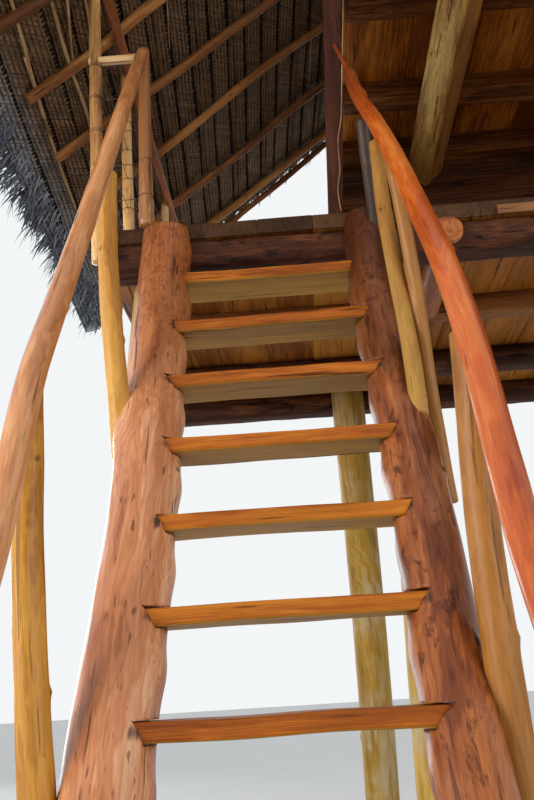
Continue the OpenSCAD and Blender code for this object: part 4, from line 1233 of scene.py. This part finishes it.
def laths(side, sign):
    node = "laths_" + side
    bm = bmesh.new()
    for k, solid in enumerate(solids(node)):
        first, last = long_line(solid)
        dice = random.Random(k * 3 + 1)
        count = 12
        line = []
        for t in range(count + 1):
            point = first + (last - first) * t / count
            line.append(point + Vector((dice.uniform(-1, 1), 0, 0)) * 0.004)
        roll_pole(bm, line, [0.0065, 0.006], sides=8, step=0.06, lumps=0.15, seed=k + 3, round_end=0.001)
    return hand_over(node + "_split", to_mesh(node, bm), "split_lath", [node])


# Each stick has its radius, and its places down the slope and along the ridge.
STICKS = [
    (0.010, [(3.24, -1.10), (3.29, -0.67), (3.35, -0.22), (3.40, 0.24), (3.44, 0.78)]),
    (0.008, [(3.33, -0.46), (3.35, -0.24)]),
    (0.011, [(3.06, -1.05), (3.10, -0.65), (3.13, -0.25), (3.14, 0.12), (3.18, 0.45)]),
    (0.008, [(2.98, -0.80), (3.02, -0.59), (3.09, -0.31), (3.12, -0.20)]),
    (0.008, [(2.90, -0.82), (2.93, -0.52), (2.96, -0.33)]),
    (0.003, [(2.48, -0.19), (2.51, 0.00), (2.53, 0.14)]),
    (0.003, [(1.43, 0.80), (1.46, 1.30), (1.47, 1.82)]),
]


def sticks(side, sign):
    bm = bmesh.new()
    for k, (radius, places) in enumerate(STICKS):
        line = [on_slope(sign, down, along, 0.031 - radius) for down, along in places]
        roll_pole(bm, line, [radius, radius * 0.7], sides=12, step=0.025, lumps=0.25, seed=k + 51,
                  round_end=0.001, knots=scatter_knots(4, 0.6, k + 9, 0.012, 0.003), lump_size=9.0)
    return hand_over("eave_sticks_" + side, to_mesh("sticks", bm), "split_lath", (), crooked_stick)


for side, sign in (("left", -1), ("right", 1)):
    rafters(side, sign)
    laths(side, sign)
    sticks(side, sign)

# %% [markdown]
# A leaf roof is thousands of leaflets. One leaflet is modelled, and arrays lay out its copies:
# each copy is a turned, scaled and bent place for the same few faces, and all become one mesh.
# Every leaflet keeps its own length, width and a number of its own in the leaf attribute.

# %% One leaflet, and strewing its copies
def leaflet(segments, taper=0.8, fold=0.12, curl=0.0, halves=2):
    """A strip that narrows to its tip, folded along its midrib and curled down.

    Each point has its share of the length and of the width, its fold in widths and its curl in
    lengths, so that copies can have any size."""
    bm = bmesh.new()
    bmesh.ops.create_grid(bm, x_segments=segments, y_segments=halves, size=0.5)
    places = []
    shape = []
    for vert in bm.verts:
        u = vert.co.x + 0.5
        v = vert.co.y * 2
        narrow = 1 - taper * max(0.0, (u - 0.35) / 0.65) ** 1.5
        places.append((u, v / 2 * narrow, -abs(v) * fold * narrow, -curl * u * u))
        shape.append((u, v))
    faces = np.array([[v.index for v in f.verts] for f in bm.faces])
    bm.free()
    return np.array(places), np.array(shape), faces


def strew(kind, starts, directions, outs, lengths, widths, dice):
    """Copies of a leaflet: start point, direction, outward side, length and width of each."""
    places, shape, faces = kind
    directions = directions / np.linalg.norm(directions, axis=1)[:, None]
    sides = np.cross(outs, directions)
    sides = sides / np.linalg.norm(sides, axis=1)[:, None]
    ups = np.cross(directions, sides)
    count = len(starts)
    along = places[None, :, 0] * lengths[:, None]
    across = places[None, :, 1] * widths[:, None]
    height = places[None, :, 2] * widths[:, None] + places[None, :, 3] * lengths[:, None]
    flat = (starts[:, None, :] + along[:, :, None] * directions[:, None, :]
            + across[:, :, None] * sides[:, None, :] + height[:, :, None] * ups[:, None, :])
    leaf = np.zeros((count, len(places), 3))
    leaf[:, :, :2] = shape[None]
    leaf[:, :, 2] = dice.random(count)[:, None]
    all_faces = faces[None] + (np.arange(count) * len(places))[:, None, None]
    return flat.reshape(-1, 3), leaf.reshape(-1, 3), all_faces.reshape(-1, faces.shape[1])


def joined(parts):
    """Several lots of leaflets as one: their points, their leaf numbers and their faces."""
    points, leaves, faces = zip(*parts)
    starts = np.cumsum([0] + [len(p) for p in points])
    faces = [f + start for f, start in zip(faces, starts)]
    return np.concatenate(points), np.concatenate(leaves), np.concatenate(faces)


def leaf_mesh(name, points, leaf, faces):
    mesh = bpy.data.meshes.new(name)
    mesh.from_pydata(points.tolist(), [], faces.tolist())
    write_on(mesh, "leaf", leaf)
    mesh.update()
    return mesh


def leaf_on_slope(name, sign, parts):
    flat, leaf, faces = joined(parts)
    return leaf_mesh(name, slopes_from_flat(sign, flat), leaf, faces)


def rows_of(*columns):
    """Puts columns of numbers side by side. A single number fills its whole column."""
    return np.stack(np.broadcast_arrays(*columns), 1).astype(float)


# %% [markdown]
# From below, the roof shows its panels: the leaflets of half a palm frond, plaited into a strip.
# Two sets of flat ribbons cross at right angles and pass over and under each other, so each
# ribbon is a zigzag with a step at every crossing. At the upper edge of a strip the ribbons run
# out into teeth, with dark gaps between them, and the next strip hangs a little in front.

# %% The plaited underside
# From one strip to the next, the woven part of a strip, and the width that a ribbon takes
BAND = 0.140
WOVEN = 0.116
RIBBON = 0.0212


def ribbon_zigzag(lean, lift):
    """One ribbon across a strip. It steps up and down at each crossing."""
    crossings = int(round(WOVEN / (RIBBON / math.sqrt(2))))
    bm = bmesh.new()
    bmesh.ops.create_grid(bm, x_segments=crossings, y_segments=1, size=0.5)
    bmesh.ops.translate(bm, vec=(0.5, 0, 0), verts=bm.verts)
    bm.verts.ensure_lookup_table()
    places = []
    shape = []
    half = RIBBON * 0.43 * math.sqrt(2)
    for vert in bm.verts:
        step = round(vert.co.x * crossings)
        across = vert.co.x * WOVEN
        side = 1 if vert.co.y > 0 else -1
        height = lift * (1 if step % 2 else -1)
        places.append((-across, lean * across + side * half, height))
        shape.append((0.05 + 0.4 * vert.co.x, side))
    faces = np.array([[v.index for v in f.verts] for f in bm.faces])
    bm.free()
    return np.array(places), np.array(shape), faces


def lay_ribbons(kind, bases, dice, tilt, pale):
    """Copies of a ribbon along its strip, from the lower edge up the slope."""
    places, shape, faces = kind
    count = len(bases)
    flat = np.repeat(bases[:, None, :], len(places), 1) + places[None]
    flat[:, :, 2] += -places[None, :, 0] * tilt + dice.normal(0, 0.0006, (count, 1))
    flat[:, :, 1] += dice.normal(0, 0.0012, (count, 1))
    leaf = np.zeros((count, len(places), 3))
    leaf[:, :, :2] = shape[None]
    leaf[:, :, 2] = (pale + 0.45 * dice.random(count))[:, None]
    all_faces = faces[None] + (np.arange(count) * len(places))[:, None, None]
    return flat.reshape(-1, 3), leaf.reshape(-1, 3), all_faces.reshape(-1, 4)


def skewed(flat):
    """Turns the strips a little in the plane of the roof."""
    middle = (LEAF_FRONT + LEAF_REAR) / 2
    down = flat[:, 0] + (flat[:, 1] - middle) * math.tan(SKEW)
    return np.stack([down, flat[:, 1], flat[:, 2]], 1)


def plaited_underside(side, sign):
    dice = np.random.default_rng(17 + sign)
    parts = []
    spacing = RIBBON * math.sqrt(2)
    count = int((LEAF_REAR - LEAF_FRONT - 0.16) / spacing)
    lean_one = ribbon_zigzag(1, 0.0030)
    lean_two = ribbon_zigzag(-1, -0.0030)
    tooth = leaflet(2, taper=0.9, fold=0.0, halves=1)
    rows = int((LEAF_LENGTH - 0.10) / BAND)
    for row in range(rows):
        lower = LEAF_LENGTH - 0.06 - row * BAND
        if lower < 0.32:
            break
        along = LEAF_FRONT + 0.08 + np.arange(count) * spacing
        bases = rows_of(lower, along, 0.0365)
        bases[:, 0] += dice.normal(0, 0.0012, count) + 0.004 * np.sin(along * 5 + row * 2.1)
        bases[:, 2] += 0.002 * np.sin(along * 3 + row)
        parts.append(lay_ribbons(lean_one, bases, dice, 0.07, 0.55))
        parts.append(lay_ribbons(lean_two, bases, dice, 0.07, 0.0))
        starts = bases.copy()
        starts[:, 0] -= WOVEN - 0.006
        starts[:, 2] += 0.008
        directions = rows_of(-1.0, 0.25 + dice.normal(0, 0.12, count), 0.15)
        outs = np.tile([0.0, 0.0, -1.0], (count, 1))
        parts.append(strew(tooth, starts, directions, outs, dice.uniform(0.026, 0.042, count),
                           np.full(count, 0.018), dice))
    flat, leaf, faces = joined(parts)
    flat = skewed(flat)
    mesh = leaf_mesh("plaited_" + side, slopes_from_flat(sign, flat), leaf, faces)
    write_on(mesh, "weather", np.clip((flat[:, 0] - 3.38) / 0.22, 0, 1))
    return hand_over("plaited_leaf_" + side, mesh, "palm_leaf", ["thatch_" + side], leaf_inside,
                     smooth=False)


for side, sign in (("left", -1), ("right", 1)):
    plaited_underside(side, sign)

# %% [markdown]
# Between the plaited strips and the weathered outside lies a bed of older leaf, which keeps the
# light out. It is a thin slab with an uneven surface, coloured almost black as painted shadow, so
# that the gaps between the plaited strips read as shade.

# %% The bed of leaf
def painted_shadow_bed(side, sign):
    bm = bmesh.new()
    leaf_layer = bm.verts.layers.float_vector.new("leaf")
    bmesh.ops.create_cube(bm, size=1)
    low = Vector((-0.07, LEAF_FRONT + 0.05, 0.056))
    high = Vector((LEAF_LENGTH - 0.10, LEAF_REAR - 0.05, 0.080))
    bmesh.ops.scale(bm, vec=high - low, verts=bm.verts)
    bmesh.ops.translate(bm, vec=(low + high) / 2, verts=bm.verts)
    longest = [e for e in bm.edges if e.calc_length() > 1]
    bmesh.ops.subdivide_edges(bm, edges=longest, cuts=50, use_grid_fill=True)
    for vert in bm.verts:
        u, v, n = vert.co
        lengthways = 0.3 + 0.2 * noise.noise(vert.co * 3)
        vert[leaf_layer] = Vector((lengthways, v * 4, 0.5 + 0.4 * noise.noise(vert.co * 5)))
        n += 0.004 * noise.noise(Vector((u * 9, v * 9, sign)))
        u = max(u, -n * math.tan(PITCH))
        vert.co = on_slope(sign, u, v, n)
    mesh = to_mesh("leaf_bed_" + side, bm)
    return hand_over("leaf_bed_" + side, mesh, "palm_leaf", (), leaf_shadow)


for side, sign in (("left", -1), ("right", 1)):
    painted_shadow_bed(side, sign)

# %% [markdown]
# Outside, the leaf lies in courses like shingles. Each course is two staggered rows of long
# leaflets that point down the slope, a little crossed, with ragged tips. The lowest course hangs
# over the eave as a loose grey fringe, and more leaflets stick out at the two gable ends.

# %% Weathered courses, fringe and gable ends
def courses(side, sign):
    dice = np.random.default_rng(29 + sign)
    blade = leaflet(3, taper=0.75, fold=0.2, curl=0.02)
    parts = []
    for row in range(12):
        edge = LEAF_LENGTH - 0.02 - row * 0.29
        for layer in range(2):
            count = 175
            along = np.linspace(LEAF_FRONT + 0.02, LEAF_REAR - 0.02, count) + dice.normal(0, 0.008, count)
            length = dice.uniform(0.36, 0.47, count)
            start = rows_of(edge - length + dice.normal(0, 0.02, count), along,
                            0.079 + 0.006 * layer + dice.uniform(0, 0.005, count))
            directions = rows_of(1, dice.normal(0, 0.13, count), dice.uniform(0.02, 0.075, count))
            outs = rows_of(0, dice.normal(0, 0.25, count), 1)
            width = dice.uniform(0.026, 0.042, count)
            parts.append(strew(blade, start, directions, outs, length, width, dice))
    mesh = leaf_on_slope("courses_" + side, sign, parts)
    return hand_over("leaf_courses_" + side, mesh, "palm_leaf", (), leaf_outside)


def fringe(side, sign):
    dice = np.random.default_rng(43 + sign)
    blade = leaflet(4, taper=0.93, fold=0.2, curl=0.30)
    parts = []
    for layer in range(6):
        count = 250
        along = np.linspace(LEAF_FRONT + 0.01, LEAF_REAR - 0.01, count) + dice.normal(0, 0.014, count)
        tufts = 1 + 0.45 * np.sin(along * 9 + layer) * np.sin(along * 23)
        length = dice.uniform(0.07, 0.17, count) * tufts
        start = rows_of(LEAF_LENGTH - 0.16 + 0.026 * layer + dice.normal(0, 0.014, count), along,
                        0.044 + 0.008 * layer + dice.normal(0, 0.003, count))
        directions = rows_of(1, dice.normal(-0.05, 0.42, count), dice.normal(-0.15, 0.16, count))
        outs = rows_of(0, dice.normal(0, 0.5, count), 1)
        width = dice.uniform(0.008, 0.018, count)
        parts.append(strew(blade, start, directions, outs, length, width, dice))
    mesh = leaf_on_slope("fringe_" + side, sign, parts)
    return hand_over("leaf_fringe_" + side, mesh, "palm_leaf", (), leaf_fringe)


def gable_ends(side, sign):
    dice = np.random.default_rng(61 + sign)
    blade = leaflet(4, taper=0.9, fold=0.2, curl=0.10)
    parts = []
    for end, facing in ((LEAF_FRONT + 0.10, -1), (LEAF_REAR - 0.10, 1)):
        count = 420
        down = np.linspace(0.05, LEAF_LENGTH - 0.05, count) + dice.normal(0, 0.01, count)
        start = rows_of(down, end + dice.normal(0, 0.02, count), dice.uniform(0.045, 0.095, count))
        directions = rows_of(0.5 + dice.normal(0, 0.25, count), facing, dice.normal(-0.04, 0.06, count))
        outs = rows_of(dice.normal(0, 0.3, count), 0, 1)
        length = dice.uniform(0.10, 0.20, count)
        width = dice.uniform(0.014, 0.028, count)
        parts.append(strew(blade, start, directions, outs, length, width, dice))
    mesh = leaf_on_slope("gable_ends_" + side, sign, parts)
    return hand_over("leaf_gable_ends_" + side, mesh, "palm_leaf", (), leaf_outside)


for side, sign in (("left", -1), ("right", 1)):
    courses(side, sign)
    fringe(side, sign)
    gable_ends(side, sign)

# %% [markdown]
# Over the ridge, fronds are bent across and hang down both slopes. Leaflets start at the ridge
# line and point down either side in three layers.

# %% The ridge cover
def ridge_cover():
    dice = np.random.default_rng(83)
    blade = leaflet(4, taper=0.8, fold=0.2, curl=0.04)
    slopes = []
    for sign in (-1, 1):
        parts = []
        for layer in range(3):
            count = 230
            along = np.linspace(LEAF_FRONT + 0.01, LEAF_REAR - 0.01, count) + dice.normal(0, 0.008, count)
            start = rows_of(0.02 + 0.012 * layer, along,
                            0.135 - 0.012 * layer + dice.uniform(0, 0.006, count))
            directions = rows_of(1, dice.normal(0, 0.16, count), dice.uniform(-0.04, 0.01, count))
            outs = rows_of(0, dice.normal(0, 0.25, count), 1)
            length = dice.uniform(0.36, 0.50, count)
            width = dice.uniform(0.028, 0.045, count)
            parts.append(strew(blade, start, directions, outs, length, width, dice))
        flat, leaf, faces = joined(parts)
        slopes.append((slopes_from_flat(sign, flat), leaf, faces))
    mesh = leaf_mesh("ridge_cover", *joined(slopes))
    return hand_over("ridge_cover", mesh, "palm_leaf", ["ridge_cap"], leaf_outside)


ridge_cover()

# %% [markdown]
# The house stands on a plain pale floor. The light is soft: an even pale sky with a large lamp to
# the left in front and weaker ones to the right in front and at the back on the left, so that the
# round logs show their shape. The camera and the reflections see a slightly brighter sky than
# the one that lights the house.

# %% Floor
floor_mesh = bpy.data.meshes.new("floor")
floor_bm = bmesh.new()
bmesh.ops.create_grid(floor_bm, x_segments=1, y_segments=1, size=60)
floor_bm.to_mesh(floor_mesh)
floor_bm.free()
floor = bpy.data.objects.new("floor", floor_mesh)
scene.collection.objects.link(floor)
pale_floor = Finish("pale_floor")
floor_place = pale_floor.node("ShaderNodeTexCoord", {}, {}, "Object")
floor_tone = pale_floor.cloud(floor_place, 0.7, 3.0)
floor_mesh.materials.append(pale_floor.finish(
    pale_floor.mix(floor_tone, (0.60, 0.60, 0.585), (0.66, 0.66, 0.645)), 0.85 + floor_tone * 0.1))

# %% Sky and lamps
world = bpy.data.worlds.new("pale_sky")
scene.world = world
world.use_nodes = True
sky = world.node_tree
sky.nodes.clear()
ray = sky.nodes.new("ShaderNodeLightPath")
seen = ray.outputs["Is Camera Ray"]
for kind in ("Is Glossy Ray", "Is Transmission Ray"):
    larger = sky.nodes.new("ShaderNodeMath")
    larger.operation = "MAXIMUM"
    sky.links.new(seen, larger.inputs[0])
    sky.links.new(ray.outputs[kind], larger.inputs[1])
    seen = larger.outputs[0]
lit = sky.nodes.new("ShaderNodeBackground")
lit.inputs["Color"].default_value = (0.93, 0.96, 1.0, 1)
lit.inputs["Strength"].default_value = 0.84
shown = sky.nodes.new("ShaderNodeBackground")
shown.inputs["Color"].default_value = (0.90, 0.92, 0.93, 1)
shown.inputs["Strength"].default_value = 1.0
either = sky.nodes.new("ShaderNodeMixShader")
sky.links.new(seen, either.inputs[0])
sky.links.new(lit.outputs[0], either.inputs[1])
sky.links.new(shown.outputs[0], either.inputs[2])
output = sky.nodes.new("ShaderNodeOutputWorld")
sky.links.new(either.outputs[0], output.inputs[0])


def soft_lamp(name, place, target, size, power, colour):
    """A large lamp far off whose light spreads by 80 degrees, so that the floor near it stays even."""
    data = bpy.data.lights.new(name, "AREA")
    data.size = size
    data.spread = math.radians(80)
    data.energy = power
    data.color = colour
    lamp = bpy.data.objects.new(name, data)
    lamp.location = place
    lamp.rotation_euler = (Vector(target) - Vector(place)).to_track_quat("-Z", "Y").to_euler()
    lamp.visible_camera = False
    scene.collection.objects.link(lamp)


soft_lamp("left_lamp", (-11.5, -7.0, 3.8), (-1.5, -1.0, 2.7), 6.0, 285, (1.0, 0.95, 0.88))
soft_lamp("right_lamp", (8.0, -9.5, 3.4), (-1.0, -0.5, 2.7), 6.0, 125, (1.0, 0.93, 0.85))
soft_lamp("back_lamp", (-8.5, 11.0, 3.8), (-1.5, 0.0, 2.8), 6.0, 150, (0.95, 0.97, 1.0))
scene.view_settings.view_transform = "Standard"
